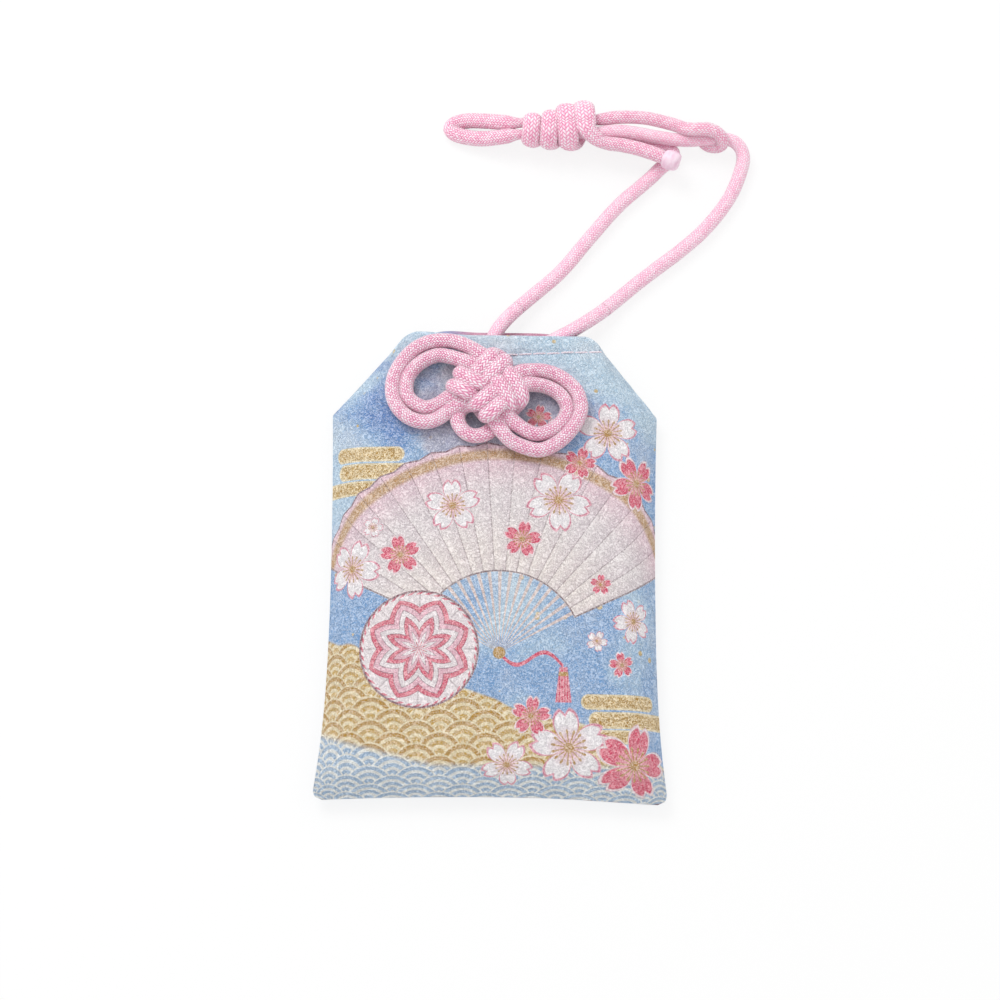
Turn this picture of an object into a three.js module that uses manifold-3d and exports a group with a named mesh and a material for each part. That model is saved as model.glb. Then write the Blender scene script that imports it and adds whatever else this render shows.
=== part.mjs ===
// Cloth amulet pouch with a knotted hanging cord, lying on its back.
// Millimetres, +Z up, +Y towards the mouth, origin under the middle of the pouch.
import * as THREE from 'three';
import { mergeVertices } from 'three/addons/utils/BufferGeometryUtils.js';
import Module from 'manifold-3d';

// Pouch outline, heights counted from the base towards the mouth
const FRONT_HEIGHT = 70.6;
const RIM_SHOW = 1.6;
const SHOULDER_DROP = 12.5;
const WAIST_HEIGHT = 28;
const BASE_WIDTH = 49.6;
const WAIST_WIDTH = 47.4;
const SHOULDER_WIDTH = 48.4;
const LEFT_CUT = 12.3;
const RIGHT_CUT = 9.9;
const CORNER_RADIUS = 1.5;
const BASE_DRAW = 0.6;
const BASE_DRAW_FADE = 20;

// Pouch thickness
const FABRIC = 0.6;
const HEM_THICKNESS = 0.8;
const HEM_DEPTH = 2.4;
const SEAM_LEVEL = 2.2;
const SEAM_GAP = 0.3;
const EDGE_ROLL = 5.5;
const EDGE_FULLNESS = 2.2;
const EDGE_RISE = 2.25;
const CROWN = 1.6;

// Filling
const GAP = 0.3;
const SLEEVE_DROP = 0.5;
const SLEEVE_BASE = 5.5;
const PAPER = 0.25;
const BOARD = 0.8;
const BOARD_INSET = 1;
const WADDING_INSET = 5.2;
const WADDING_BASE = 5.2;
const WADDING_DROP = 1.1;

// Threads
const HEM_THREAD = 0.3;
const SEAM_THREAD = 0.5;
const SEAM_THREAD_INSET = 1.3;
const BACK_THREAD_DROP = 2.6;

// Cord
const CORD = 2.1;
const KNOT_CORD = 1.4;
const CORE_CORD = 1.3;
const PAIR_GAP = 0.46;
const CORD_SIDES = 8;
const KNOT_SIDES = 6;
const TIP_LENGTH = 2.7;
const TIP_DIAMETER = 3.2;

// Where the front hem lies in the drawing of the cord routes, which go with it
const ROUTE_MOUTH = 34.5;

// Hole in the front cloth for the two leads of the front knot
const HOLE_X = 0.95;
const HOLE_Y = 30.1;
const HOLE_LENGTH = 5.8;
const HOLE_WIDTH = 3.9;

// Front knot: middle of its woven square, turn of the square, and the heights of its layers
const KNOT_X = -0.7;
const KNOT_Y = 24.3;
const KNOT_TURN = THREE.MathUtils.degToRad(28);
const KNOT_SPREAD = 1.06;
const LAYER = 2.45;
const BACK_LAYER = 1.05;
const UNDER = BACK_LAYER + LAYER;
const OVER = UNDER + LAYER;
const CLIMB = (UNDER + OVER) / 2;
const EASE = 0.12;

// Slip knot: a winding round the loop's two strands and the strand that it comes from
const SLIP_START_X = 4.2;
const SLIP_PITCH = 2.5;
const SLIP_TURNS = 3.6;
const SLIP_Y = 69.6;
const SLIP_Z = 3.6;
const SLIP_RADIUS = 2.84;
const SLIP_SWELL = 0.5;
const SLIP_STEPS_PER_TURN = 16;

// Stop knot: a short winding round the right strand
const STOP_START_X = 31.3;
const STOP_PITCH = 2.2;
const STOP_TURNS = 1.65;
const STOP_Y = 68.5;
const STOP_Z = 2.5;
const STOP_RADIUS = 1.85;
const STOP_START_ANGLE = THREE.MathUtils.degToRad(40);
const STOP_STEPS_PER_TURN = 12;

const PINK = 0xf2b6c8;
const PALE_PINK = 0xf0dfe6;
const SKY = 0x86b4dc;

const BACK_HEIGHT = FRONT_HEIGHT + RIM_SHOW;
const SHOULDER_HEIGHT = FRONT_HEIGHT - SHOULDER_DROP;
const LEFT_MOUTH = SHOULDER_WIDTH / 2 - LEFT_CUT;
const RIGHT_MOUTH = SHOULDER_WIDTH / 2 - RIGHT_CUT;
const HALF_HEIGHT = BACK_HEIGHT / 2;
const ROUTE_SHIFT = FRONT_HEIGHT - HALF_HEIGHT - ROUTE_MOUTH;
const FRONT_EDGE_Z = SEAM_LEVEL + SEAM_GAP / 2;
const BACK_EDGE_Z = SEAM_LEVEL - SEAM_GAP / 2;
const WADDING_TOP = SHOULDER_HEIGHT - WADDING_DROP;
const SLEEVE_WIDTH = SHOULDER_WIDTH - 2 * WADDING_INSET;
const SLEEVE_LENGTH = WADDING_TOP - SLEEVE_DROP - SLEEVE_BASE;
const BOARD_LENGTH = SLEEVE_LENGTH - 2 * BOARD_INSET;
const SLEEVE_FLOOR = FABRIC + GAP;
const SLEEVE_DEPTH = 2 * PAPER + 2 * GAP + BOARD;
const SLEEVE_TOP = SLEEVE_FLOOR + SLEEVE_DEPTH;

const wasm = await Module();
wasm.setup();

const part = new THREE.Group();

function addPiece(name, geometry, colour, roughness, parent = part) {
  geometry.computeVertexNormals();
  const material = new THREE.MeshStandardMaterial({ color: colour, roughness, metalness: 0 });
  const mesh = new THREE.Mesh(geometry, material);
  mesh.name = name;
  parent.add(mesh);
  return mesh;
}

// Share of the full thickness reached at a distance from the pouch's edge
function rollOver(distance) {
  const reach = THREE.MathUtils.clamp(distance / EDGE_ROLL, 0, 1);
  return 1 - (1 - reach) ** EDGE_FULLNESS;
}

// Half width to one side at a height; the sides draw in at the waist and slope in above the shoulder
function halfWidth(height, mouth) {
  if (height > SHOULDER_HEIGHT) {
    const slope = (SHOULDER_WIDTH / 2 - mouth) / (FRONT_HEIGHT - SHOULDER_HEIGHT);
    return SHOULDER_WIDTH / 2 - slope * (height - SHOULDER_HEIGHT);
  }
  if (height > WAIST_HEIGHT) {
    const rise = (height - WAIST_HEIGHT) / (SHOULDER_HEIGHT - WAIST_HEIGHT);
    return (WAIST_WIDTH + (SHOULDER_WIDTH - WAIST_WIDTH) * rise ** 2) / 2;
  }
  const drop = (WAIST_HEIGHT - height) / WAIST_HEIGHT;
  const corner = Math.max(0, CORNER_RADIUS - height);
  const rounding = CORNER_RADIUS - Math.sqrt(CORNER_RADIUS ** 2 - corner ** 2);
  return (WAIST_WIDTH + (BASE_WIDTH - WAIST_WIDTH) * drop ** 3) / 2 - rounding;
}

function sideWidth(across, height) {
  return halfWidth(height, across < 0 ? LEFT_MOUTH : RIGHT_MOUTH);
}

// Plan position for a share across the width (-1 to 1) and a height
function planPoint(across, height) {
  const x = across * sideWidth(across, height);
  const draw = BASE_DRAW * Math.max(0, 1 - height / BASE_DRAW_FADE) * (1 - across ** 2);
  return { x, y: height - HALF_HEIGHT + draw };
}

function fullness(across, height) {
  const side = (1 - Math.abs(across)) * sideWidth(across, height);
  return rollOver(side) * rollOver(height);
}

function frontTop(across, height) {
  const swell = Math.sin(Math.PI * Math.min(1, height / FRONT_HEIGHT));
  const crown = CROWN * (1 - across ** 2) * swell;
  return FRONT_EDGE_Z + EDGE_RISE * fullness(across, height) + crown;
}

function frontThickness(height) {
  return height > FRONT_HEIGHT - HEM_DEPTH ? HEM_THICKNESS : FABRIC;
}

function frontUnder(across, height) {
  return frontTop(across, height) - frontThickness(height) * fullness(across, height);
}

function backUnder(across, height) {
  return BACK_EDGE_Z * (1 - fullness(across, height));
}

// Closed skin between an upper and a lower sheet, each given on the same grid of rows and columns
function closedSkin(rows, columns, upperPoint, lowerPoint) {
  const positions = [];
  for (const sheet of [upperPoint, lowerPoint]) {
    for (const row of rows) {
      for (const column of columns) {
        positions.push(...sheet(column, row));
      }
    }
  }
  const wide = columns.length;
  const lower = rows.length * wide;
  const index = [];
  const quad = (a, b, c, d) => index.push(a, b, c, a, c, d);
  for (let r = 0; r + 1 < rows.length; r++) {
    for (let c = 0; c + 1 < wide; c++) {
      const a = r * wide + c;
      quad(a, a + 1, a + wide + 1, a + wide);
      quad(lower + a, lower + a + wide, lower + a + wide + 1, lower + a + 1);
    }
    const left = r * wide;
    const right = left + wide - 1;
    quad(left, left + wide, lower + left + wide, lower + left);
    quad(right + wide, right, lower + right, lower + right + wide);
  }
  const top = (rows.length - 1) * wide;
  for (let c = 0; c + 1 < wide; c++) {
    quad(c + 1, c, lower + c, lower + c + 1);
    quad(top + c, top + c + 1, lower + top + c + 1, lower + top + c);
  }
  const geometry = new THREE.BufferGeometry();
  geometry.setAttribute('position', new THREE.Float32BufferAttribute(positions, 3));
  geometry.setIndex(index);
  return geometry;
}

function toSolid(geometry) {
  const plain = geometry.clone();
  plain.deleteAttribute('normal');
  plain.deleteAttribute('uv');
  const merged = mergeVertices(plain, 1e-4);
  return new wasm.Manifold(new wasm.Mesh({
    numProp: 3,
    vertProperties: new Float32Array(merged.attributes.position.array),
    triVerts: new Uint32Array(merged.index.array),
  }));
}

function fromSolid(solid) {
  const mesh = solid.getMesh();
  const geometry = new THREE.BufferGeometry();
  geometry.setAttribute('position', new THREE.BufferAttribute(mesh.vertProperties, 3));
  geometry.setIndex(new THREE.BufferAttribute(mesh.triVerts, 1));
  return geometry;
}

// Shares across the width, closer together towards the rolled edges
function acrossShares(count) {
  const shares = [];
  for (let i = 0; i <= count; i++) {
    shares.push(Math.sin((i / count - 0.5) * Math.PI));
  }
  return shares;
}

function evenSteps(from, to, count) {
  const steps = [];
  for (let i = 0; i < count; i++) {
    steps.push(from + (to - from) * i / count);
  }
  return steps;
}

// Row heights: close together over the rolled base, even up the body and up the sloped top
function rowHeights(top, bodyRows, slopeRows) {
  const bases = [0, 0.1, 0.4, 1].map((share) => share * CORNER_RADIUS);
  return [
    ...bases,
    CORNER_RADIUS + (EDGE_ROLL - CORNER_RADIUS) / 2,
    ...evenSteps(EDGE_ROLL, SHOULDER_HEIGHT, bodyRows),
    ...evenSteps(SHOULDER_HEIGHT, top, slopeRows),
    top,
  ];
}

// The inner face of a panel stands one cloth thickness in from its edge
function insetPoint(across, height, z) {
  const { x, y } = planPoint(across, height);
  const wide = sideWidth(across, height);
  const baseInset = FABRIC * Math.max(0, 1 - height / EDGE_ROLL);
  return [x * (1 - FABRIC / wide), y + baseInset, z];
}

function frontPanel() {
  const hemRow = FRONT_HEIGHT - HEM_DEPTH;
  const rows = rowHeights(hemRow, 9, 4).concat(hemRow + 0.1, FRONT_HEIGHT);
  const shell = closedSkin(
    rows,
    acrossShares(18),
    (across, height) => {
      const { x, y } = planPoint(across, height);
      return [x, y, frontTop(across, height)];
    },
    (across, height) => insetPoint(across, height, frontUnder(across, height)),
  );
  const punch = new THREE.CylinderGeometry(HOLE_LENGTH / 2, HOLE_LENGTH / 2, 20, 24);
  punch.rotateX(Math.PI / 2);
  punch.scale(1, HOLE_WIDTH / HOLE_LENGTH, 1);
  punch.translate(HOLE_X, HOLE_Y + ROUTE_SHIFT, SEAM_LEVEL);
  return fromSolid(toSolid(shell).subtract(toSolid(punch)));
}

function backPanel() {
  return closedSkin(
    rowHeights(BACK_HEIGHT, 6, 4),
    acrossShares(14),
    (across, height) => {
      const lift = FABRIC * fullness(across, height);
      return insetPoint(across, height, backUnder(across, height) + lift);
    },
    (across, height) => {
      const { x, y } = planPoint(across, height);
      return [x, y, backUnder(across, height)];
    },
  );
}

// Soft filling between the paper sleeve and the front cloth
function frontWadding() {
  const rows = [...evenSteps(WADDING_BASE, WADDING_TOP, 9), WADDING_TOP];
  const columns = evenSteps(-1, 1, 10).concat(1);
  const shareOf = (across, height) => {
    const wide = sideWidth(across, height);
    return across * (wide - WADDING_INSET) / wide;
  };
  const place = (across, height, z) => {
    const { x, y } = planPoint(shareOf(across, height), height);
    return [x, y, z];
  };
  return closedSkin(
    rows,
    columns,
    (across, height) => place(across, height, frontUnder(shareOf(across, height), height) - GAP),
    (across, height) => place(across, height, SLEEVE_TOP + GAP),
  );
}

function extrudeAlongY(shape, from, length) {
  const geometry = new THREE.ExtrudeGeometry(shape, { depth: length, bevelEnabled: false });
  geometry.rotateX(Math.PI / 2);
  geometry.translate(0, from + length, 0);
  return geometry;
}

function rectangle(width, low, high, Kind = THREE.Shape) {
  const outline = new Kind();
  outline.moveTo(-width / 2, low);
  outline.lineTo(width / 2, low);
  outline.lineTo(width / 2, high);
  outline.lineTo(-width / 2, high);
  outline.closePath();
  return outline;
}

function paperWrapper() {
  const sleeve = rectangle(SLEEVE_WIDTH, SLEEVE_FLOOR, SLEEVE_TOP);
  const inside = rectangle(
    SLEEVE_WIDTH - 2 * PAPER, SLEEVE_FLOOR + PAPER, SLEEVE_TOP - PAPER, THREE.Path);
  sleeve.holes.push(inside);
  return extrudeAlongY(sleeve, SLEEVE_BASE - HALF_HEIGHT, SLEEVE_LENGTH);
}

function charmBoard() {
  const wide = SLEEVE_WIDTH - 2 * (PAPER + GAP);
  const floor = SLEEVE_FLOOR + PAPER + GAP;
  const outline = rectangle(wide, floor, floor + BOARD);
  const from = SLEEVE_BASE + BOARD_INSET;
  return extrudeAlongY(outline, from - HALF_HEIGHT, BOARD_LENGTH);
}

function smoothCurve(points) {
  const curve = new THREE.CatmullRomCurve3(points, false, 'centripetal');
  curve.arcLengthDivisions = points.length * 16;
  return curve;
}

// Closed round tube along a curve; the radius may change along it
function cordTube(curve, stepLength, sides, radiusAt) {
  const steps = Math.ceil(curve.getLength() / stepLength);
  const frames = curve.computeFrenetFrames(steps, false);
  const positions = [];
  const index = [];
  for (let i = 0; i <= steps; i++) {
    const centre = curve.getPointAt(i / steps);
    const radius = radiusAt(centre);
    for (let j = 0; j < sides; j++) {
      const angle = 2 * Math.PI * j / sides;
      const point = centre.clone();
      point.addScaledVector(frames.normals[i], radius * Math.cos(angle));
      point.addScaledVector(frames.binormals[i], radius * Math.sin(angle));
      positions.push(point.x, point.y, point.z);
    }
  }
  const startCap = positions.length / 3;
  positions.push(...curve.getPointAt(0).toArray(), ...curve.getPointAt(1).toArray());
  for (let j = 0; j < sides; j++) {
    const next = (j + 1) % sides;
    for (let i = 0; i < steps; i++) {
      const low = i * sides;
      const high = low + sides;
      index.push(low + j, low + next, high + j, low + next, high + next, high + j);
    }
    const last = steps * sides;
    index.push(startCap, next, j, startCap + 1, last + j, last + next);
  }
  const geometry = new THREE.BufferGeometry();
  geometry.setAttribute('position', new THREE.Float32BufferAttribute(positions, 3));
  geometry.setIndex(index);
  return geometry;
}

const evenRadius = (diameter) => () => diameter / 2;

// Least gap of a cord to itself, measured between points that lie apart along it
function printLeastGap(name, curve, radiusAt) {
  const spacing = 0.4;
  const apart = Math.ceil(3 * CORD / spacing);
  const points = curve.getSpacedPoints(Math.ceil(curve.getLength() / spacing));
  let least = Infinity;
  let where = null;
  for (let i = 0; i < points.length; i++) {
    for (let j = i + apart; j < points.length; j++) {
      const reach = radiusAt(points[i]) + radiusAt(points[j]);
      const gap = points[i].distanceTo(points[j]) - reach;
      if (gap < least) {
        least = gap;
        where = [points[i], points[j]];
      }
    }
  }
  const places = where.map((p) => p.toArray().map((v) => v.toFixed(1)).join(' ')).join(' and ');
  console.log(`${name}: least gap to itself ${least.toFixed(2)} mm, between ${places}`);
}

// A cord that a knot squeezes: thin near the knot's axis, full size a little way off
function squeezedRadius(from, to, thin, hold, fade) {
  const axis = new THREE.Line3(from, to);
  const nearest = new THREE.Vector3();
  return (point) => {
    axis.closestPointToPoint(point, true, nearest);
    const share = THREE.MathUtils.smoothstep(point.distanceTo(nearest), hold, hold + fade);
    return THREE.MathUtils.lerp(thin, CORD, share) / 2;
  };
}

function vectors(list) {
  return list.map(([x, y, z]) => new THREE.Vector3(x, y, z));
}

// Sewing threads
function hemThread(height, z) {
  const points = [];
  for (const across of evenSteps(-0.85, 0.85, 8).concat(0.85)) {
    const { x, y } = planPoint(across, height);
    points.push(new THREE.Vector3(x, y, z(across, height)));
  }
  return cordTube(smoothCurve(points), 3, KNOT_SIDES, evenRadius(HEM_THREAD));
}

function seamThread() {
  const inset = (side, height) => {
    const wide = sideWidth(side, height);
    const { x, y } = planPoint(side * (1 - SEAM_THREAD_INSET / wide), height);
    return new THREE.Vector3(x, y, SEAM_LEVEL);
  };
  const sides = [...evenSteps(SEAM_THREAD_INSET * 3, SHOULDER_HEIGHT, 10), SHOULDER_HEIGHT];
  const slope = evenSteps(SHOULDER_HEIGHT, FRONT_HEIGHT - HEM_DEPTH, 3).slice(1);
  const heights = sides.concat(slope);
  const down = heights.map((height) => inset(-1, height)).reverse();
  const base = evenSteps(-0.85, 0.85, 8).concat(0.85).map((across) => {
    const { x, y } = planPoint(across, 0);
    return new THREE.Vector3(x, y + SEAM_THREAD_INSET, SEAM_LEVEL);
  });
  const up = heights.map((height) => inset(1, height));
  const curve = smoothCurve([...down, ...base, ...up]);
  return cordTube(curve, 4, KNOT_SIDES, evenRadius(SEAM_THREAD));
}

addPiece('front_panel', frontPanel(), SKY, 0.8);
addPiece('back_panel', backPanel(), SKY, 0.8);
addPiece('front_wadding', frontWadding(), 0xf4f1ea, 0.95);
addPiece('paper_wrapper', paperWrapper(), 0xf7f3e8, 0.9);
addPiece('charm_board', charmBoard(), 0xd9bf94, 0.8);
const hemThreadHeight = FRONT_HEIGHT - HEM_DEPTH;
const onFront = (across, height) => frontTop(across, height) + GAP + HEM_THREAD / 2;
addPiece('front_hem_thread', hemThread(hemThreadHeight, onFront), 0xf3e3ea, 0.7);
const onBack = (across, height) => {
  const inner = backUnder(across, height) + FABRIC * fullness(across, height);
  return inner + GAP + HEM_THREAD / 2;
};
const backThreadHeight = BACK_HEIGHT - BACK_THREAD_DROP;
addPiece('back_hem_thread', hemThread(backThreadHeight, onBack), 0xf3e3ea, 0.7);
addPiece('side_seam_thread', seamThread(), 0xf3e3ea, 0.7);

// Front knot: one unbroken cord, in the plane that touches the front cloth under its middle
const knotGroup = new THREE.Group();
const knotHeight = KNOT_Y + ROUTE_SHIFT + HALF_HEIGHT;
const slopeStep = 0.5;
const knotSlope = (frontTop(0, knotHeight + slopeStep) - frontTop(0, knotHeight - slopeStep))
  / (2 * slopeStep);
knotGroup.position.set(KNOT_X, KNOT_Y + ROUTE_SHIFT, frontTop(0, knotHeight));
knotGroup.rotation.x = Math.atan(knotSlope);
part.add(knotGroup);

// A place in the woven square, along its two band directions
function woven(right, up, height) {
  const x = right * Math.cos(KNOT_TURN) - up * Math.sin(KNOT_TURN);
  const y = right * Math.sin(KNOT_TURN) + up * Math.cos(KNOT_TURN);
  return new THREE.Vector3(x * KNOT_SPREAD, y * KNOT_SPREAD, height);
}

// A place on the pouch outside the square
function lying(x, y, height) {
  return new THREE.Vector3(x - KNOT_X, y - KNOT_Y, height);
}

const frontKnotRoute = [
  // Up out of the hole and over the top band's end
  lying(2.3, 29.9, 0.55), lying(2.5, 29.75, 1.9), woven(5.3, 3.25, UNDER),
  woven(4.8, 3.25, 5.05), woven(3.25, 3.25, OVER), woven(1.4, 3.25, OVER),
  woven(-0.4, 3.25, CLIMB), woven(-2.4, 3.25, UNDER), woven(-4.5, 3.0, UNDER),
  // Inner turn of the left loop
  lying(-6.7, 23.9, 2.6), lying(-7.6, 22.7, 1.6), lying(-8.7, 21.9, 1.2),
  lying(-10.2, 21.5, 1.15), lying(-11.7, 22.0, 1.15), lying(-12.75, 23.0, 1.15),
  lying(-13.15, 24.5, 1.15), lying(-12.95, 26.1, 1.15), lying(-12.0, 27.6, 1.2),
  lying(-10.5, 28.8, 1.4), lying(-8.6, 29.5, 1.7), lying(-6.5, 29.7, 2.1),
  lying(-4.5, 29.3, 2.8), lying(-2.8, 28.65, 3.3),
  // Right band, inner strand, and the hop behind the square
  woven(1.4, 3.25, UNDER), woven(1.4, 1.4, UNDER), woven(1.45, 0.75, UNDER + EASE),
  woven(1.5, 0, CLIMB), woven(1.6, -0.75, OVER - EASE), woven(1.65, -1.5, OVER),
  woven(1.75, -3.4, OVER), woven(1.75, -4.75, 5.1),
  woven(1.75, -5.15, UNDER), woven(1.75, -4.75, 1.8), woven(1.6, -3.6, BACK_LAYER),
  woven(1.3, -1.5, BACK_LAYER), woven(1.6, 0.3, BACK_LAYER), woven(2.4, 1.25, BACK_LAYER),
  woven(3.7, 1.4, BACK_LAYER),
  // Top band, lower strand
  woven(4.9, 1.4, 1.8), woven(5.35, 1.4, UNDER), woven(4.9, 1.4, 5.0),
  woven(3.25, 1.4, OVER), woven(1.4, 1.4, OVER), woven(0.75, 1.4, OVER - EASE),
  woven(0, 1.4, CLIMB), woven(-0.75, 1.4, UNDER + EASE), woven(-1.7, 1.4, UNDER),
  woven(-3.8, 1.3, UNDER),
  // Outer turn of the left loop
  lying(-5.2, 22.9, 3.2), lying(-6.1, 21.7, 2.6), lying(-7.2, 20.5, 1.7),
  lying(-8.6, 19.7, 1.2), lying(-10.4, 19.35, 1.15), lying(-12.2, 19.8, 1.15),
  lying(-13.7, 20.9, 1.15), lying(-14.8, 22.6, 1.15), lying(-15.15, 24.5, 1.15),
  lying(-14.75, 26.7, 1.15), lying(-13.6, 28.8, 1.25), lying(-11.9, 30.6, 1.5),
  lying(-9.8, 31.6, 1.85), lying(-7.6, 32.0, 2.0), lying(-5.4, 31.8, 2.3),
  lying(-3.2, 31.1, 2.8), lying(-1.0, 30.25, 3.3),
  // Right band, outer strand
  woven(3.25, 3.25, UNDER), woven(3.25, 1.4, UNDER), woven(3.3, 0, CLIMB),
  woven(3.4, -1.4, OVER), woven(3.6, -3.4, OVER), woven(3.6, -4.9, 5.0),
  woven(3.6, -5.35, UNDER),
  // Small loop at the bottom
  lying(5.3, 20.2, 2.1), lying(4.5, 19.3, 1.2), lying(3.4, 18.4, BACK_LAYER),
  lying(1.9, 17.8, BACK_LAYER), lying(0.4, 17.3, BACK_LAYER), lying(-1.3, 16.8, BACK_LAYER),
  lying(-2.9, 16.6, BACK_LAYER), lying(-4.3, 17.0, BACK_LAYER), lying(-5.2, 17.9, BACK_LAYER),
  lying(-5.4, 19.1, 1.15), lying(-4.85, 20.2, 2.1),
  // Bottom band, upper strand
  woven(-5.2, -1.45, 3.5), woven(-4.65, -1.4, 5.2), woven(-3.2, -1.4, OVER),
  woven(-1.4, -1.4, OVER), woven(-0.75, -1.4, OVER - EASE), woven(0, -1.4, CLIMB),
  woven(0.75, -1.4, UNDER + EASE), woven(1.6, -1.4, UNDER),
  woven(3.4, -1.4, UNDER),
  // Outer turn of the right loop
  lying(4.3, 25.6, 3.0), lying(5.6, 26.6, 2.2), lying(7.0, 27.2, 1.5),
  lying(8.9, 26.95, 1.2), lying(10.8, 25.7, 1.15), lying(12.2, 24.0, 1.15),
  lying(12.75, 21.6, 1.15), lying(12.2, 19.7, 1.15), lying(10.7, 17.5, 1.15),
  lying(8.8, 15.9, 1.15), lying(6.7, 15.0, 1.15), lying(4.6, 15.3, 1.5),
  lying(2.8, 16.1, 2.3), lying(1.0, 17.2, 3.1),
  // Left band, outer strand, and the hop behind the square
  lying(-0.7, 18.3, 3.4), woven(-3.05, -3.4, UNDER), woven(-3.3, -1.4, UNDER),
  woven(-3.5, 0, CLIMB), woven(-3.95, 1.4, OVER), woven(-4.6, 3.0, OVER),
  woven(-5.4, 4.4, 5.0), woven(-5.7, 4.8, UNDER), woven(-5.4, 4.4, 1.8),
  woven(-4.7, 3.2, BACK_LAYER), lying(-5.2, 23.8, BACK_LAYER), lying(-4.2, 22.6, BACK_LAYER),
  lying(-3.3, 21.5, BACK_LAYER), lying(-2.5, 20.5, BACK_LAYER), lying(-2.2, 19.8, 1.2),
  // Bottom band, lower strand
  woven(-4.2, -3.55, 1.9), woven(-4.85, -3.7, UNDER), woven(-4.2, -3.55, 5.2),
  woven(-2.9, -3.4, OVER), woven(-1.0, -3.4, OVER), woven(0.4, -3.4, CLIMB),
  woven(1.75, -3.4, UNDER), woven(3.6, -3.4, UNDER),
  // Inner turn of the right loop
  lying(5.2, 23.9, 2.6), lying(6.4, 24.7, 1.8), lying(7.7, 24.95, 1.3),
  lying(9.0, 24.3, 1.15), lying(10.1, 23.0, 1.15), lying(10.6, 21.4, 1.15),
  lying(10.1, 19.8, 1.15), lying(8.8, 18.4, 1.15), lying(7.2, 17.5, 1.3),
  lying(5.6, 17.3, 1.8), lying(4.0, 17.75, 2.8), lying(2.4, 18.65, 3.3),
  // Left band, inner strand, then behind the square and down into the hole
  woven(-0.75, -4.75, UNDER), woven(-1.1, -3.4, UNDER), woven(-1.4, -1.5, UNDER),
  woven(-1.45, -0.75, UNDER + EASE), woven(-1.55, 0, CLIMB), woven(-1.7, 0.75, OVER - EASE),
  woven(-1.9, 1.4, OVER), woven(-2.4, 3.25, OVER),
  woven(-3.0, 4.9, 5.0), woven(-3.2, 5.4, UNDER), lying(-5.7, 27.5, 1.8),
  lying(-4.6, 27.3, BACK_LAYER), lying(-3.0, 27.7, BACK_LAYER), lying(-1.6, 28.5, BACK_LAYER),
  lying(-0.7, 29.3, 0.85), lying(-0.35, 29.8, 0.5),
];
const frontKnotCurve = smoothCurve(frontKnotRoute);
printLeastGap('front_knot', frontKnotCurve, evenRadius(KNOT_CORD));
const frontKnot = cordTube(frontKnotCurve, 1, KNOT_SIDES, evenRadius(KNOT_CORD));
addPiece('front_knot', frontKnot, PINK, 0.75, knotGroup);

const cords = new THREE.Group();
cords.position.y = ROUTE_SHIFT;
part.add(cords);

// Leads from the front knot through the hole and out of the mouth
function lead(name, points) {
  const tube = cordTube(smoothCurve(vectors(points)), 1.2, KNOT_SIDES, evenRadius(KNOT_CORD));
  addPiece(name, tube, PINK, 0.75, cords);
}

lead('knot_lead_left', [
  [-0.3, 30.05, 5.0], [-0.25, 30.4, 4.3], [-0.1, 31.0, 3.4], [0.1, 32.2, 2.75], [0.4, 33.9, 2.6],
  [0.65, 35.4, 2.6],
]);
lead('knot_lead_right', [
  [2.3, 30.15, 5.0], [2.45, 30.5, 4.3], [3.0, 31.1, 3.4], [4.4, 32.0, 2.75], [6.6, 33.3, 2.6],
  [8.6, 34.5, 2.8], [10.05, 35.45, 3.15],
]);

// Free strands
const slipFrom = new THREE.Vector3(SLIP_START_X, SLIP_Y, SLIP_Z);
const slipTo = slipFrom.clone().setX(SLIP_START_X + SLIP_TURNS * SLIP_PITCH);
const stopFrom = new THREE.Vector3(STOP_START_X, STOP_Y, STOP_Z);
const stopTo = stopFrom.clone().setX(STOP_START_X + STOP_TURNS * STOP_PITCH);
const inStopKnot = squeezedRadius(stopFrom, stopTo, KNOT_CORD, 1.9, 3);

const leftStrand = smoothCurve(vectors([
  [0.85, 35.9, 2.6], [2.3, 38.4, 2.2], [4.4, 40.7, 1.6], [6.9, 43.2, 1.2], [9.35, 45.65, 1.1],
  [11.35, 48.0, 1.1], [13.45, 50.8, 1.1], [15.4, 53.3, 1.1], [17.45, 55.9, 1.1],
  [19.8, 58.5, 1.1], [22.4, 60.9, 1.1], [24.0, 62.5, 1.1], [25.3, 64.0, 1.1],
]));
const leftTube = cordTube(leftStrand, 2.5, CORD_SIDES, evenRadius(CORD));
addPiece('left_strand', leftTube, PINK, 0.75, cords);

const rightStrand = smoothCurve(vectors([
  [10.7, 35.9, 3.25], [12.5, 37.0, 2.95], [15.5, 38.9, 1.9], [18.4, 41.3, 1.2], [21.5, 44.0, 1.1],
  [24.8, 46.8, 1.1], [28.15, 49.65, 1.1], [31.4, 52.8, 1.1], [34.25, 56.25, 1.1],
  [36.5, 59.9, 1.1], [38.0, 63.5, 1.2], [38.4, 65.6, 1.5], [38.0, 67.2, 1.95],
  [36.8, 68.2, 2.35], [35.2, STOP_Y, STOP_Z], [32.5, STOP_Y, STOP_Z], [30.0, 68.5, 2.55],
  [27.4, 68.6, 2.9], [24.6, 68.85, 3.3],
]));
const rightTube = cordTube(rightStrand, 2, CORD_SIDES, inStopKnot);
addPiece('right_strand', rightTube, PINK, 0.75, cords);

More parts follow.
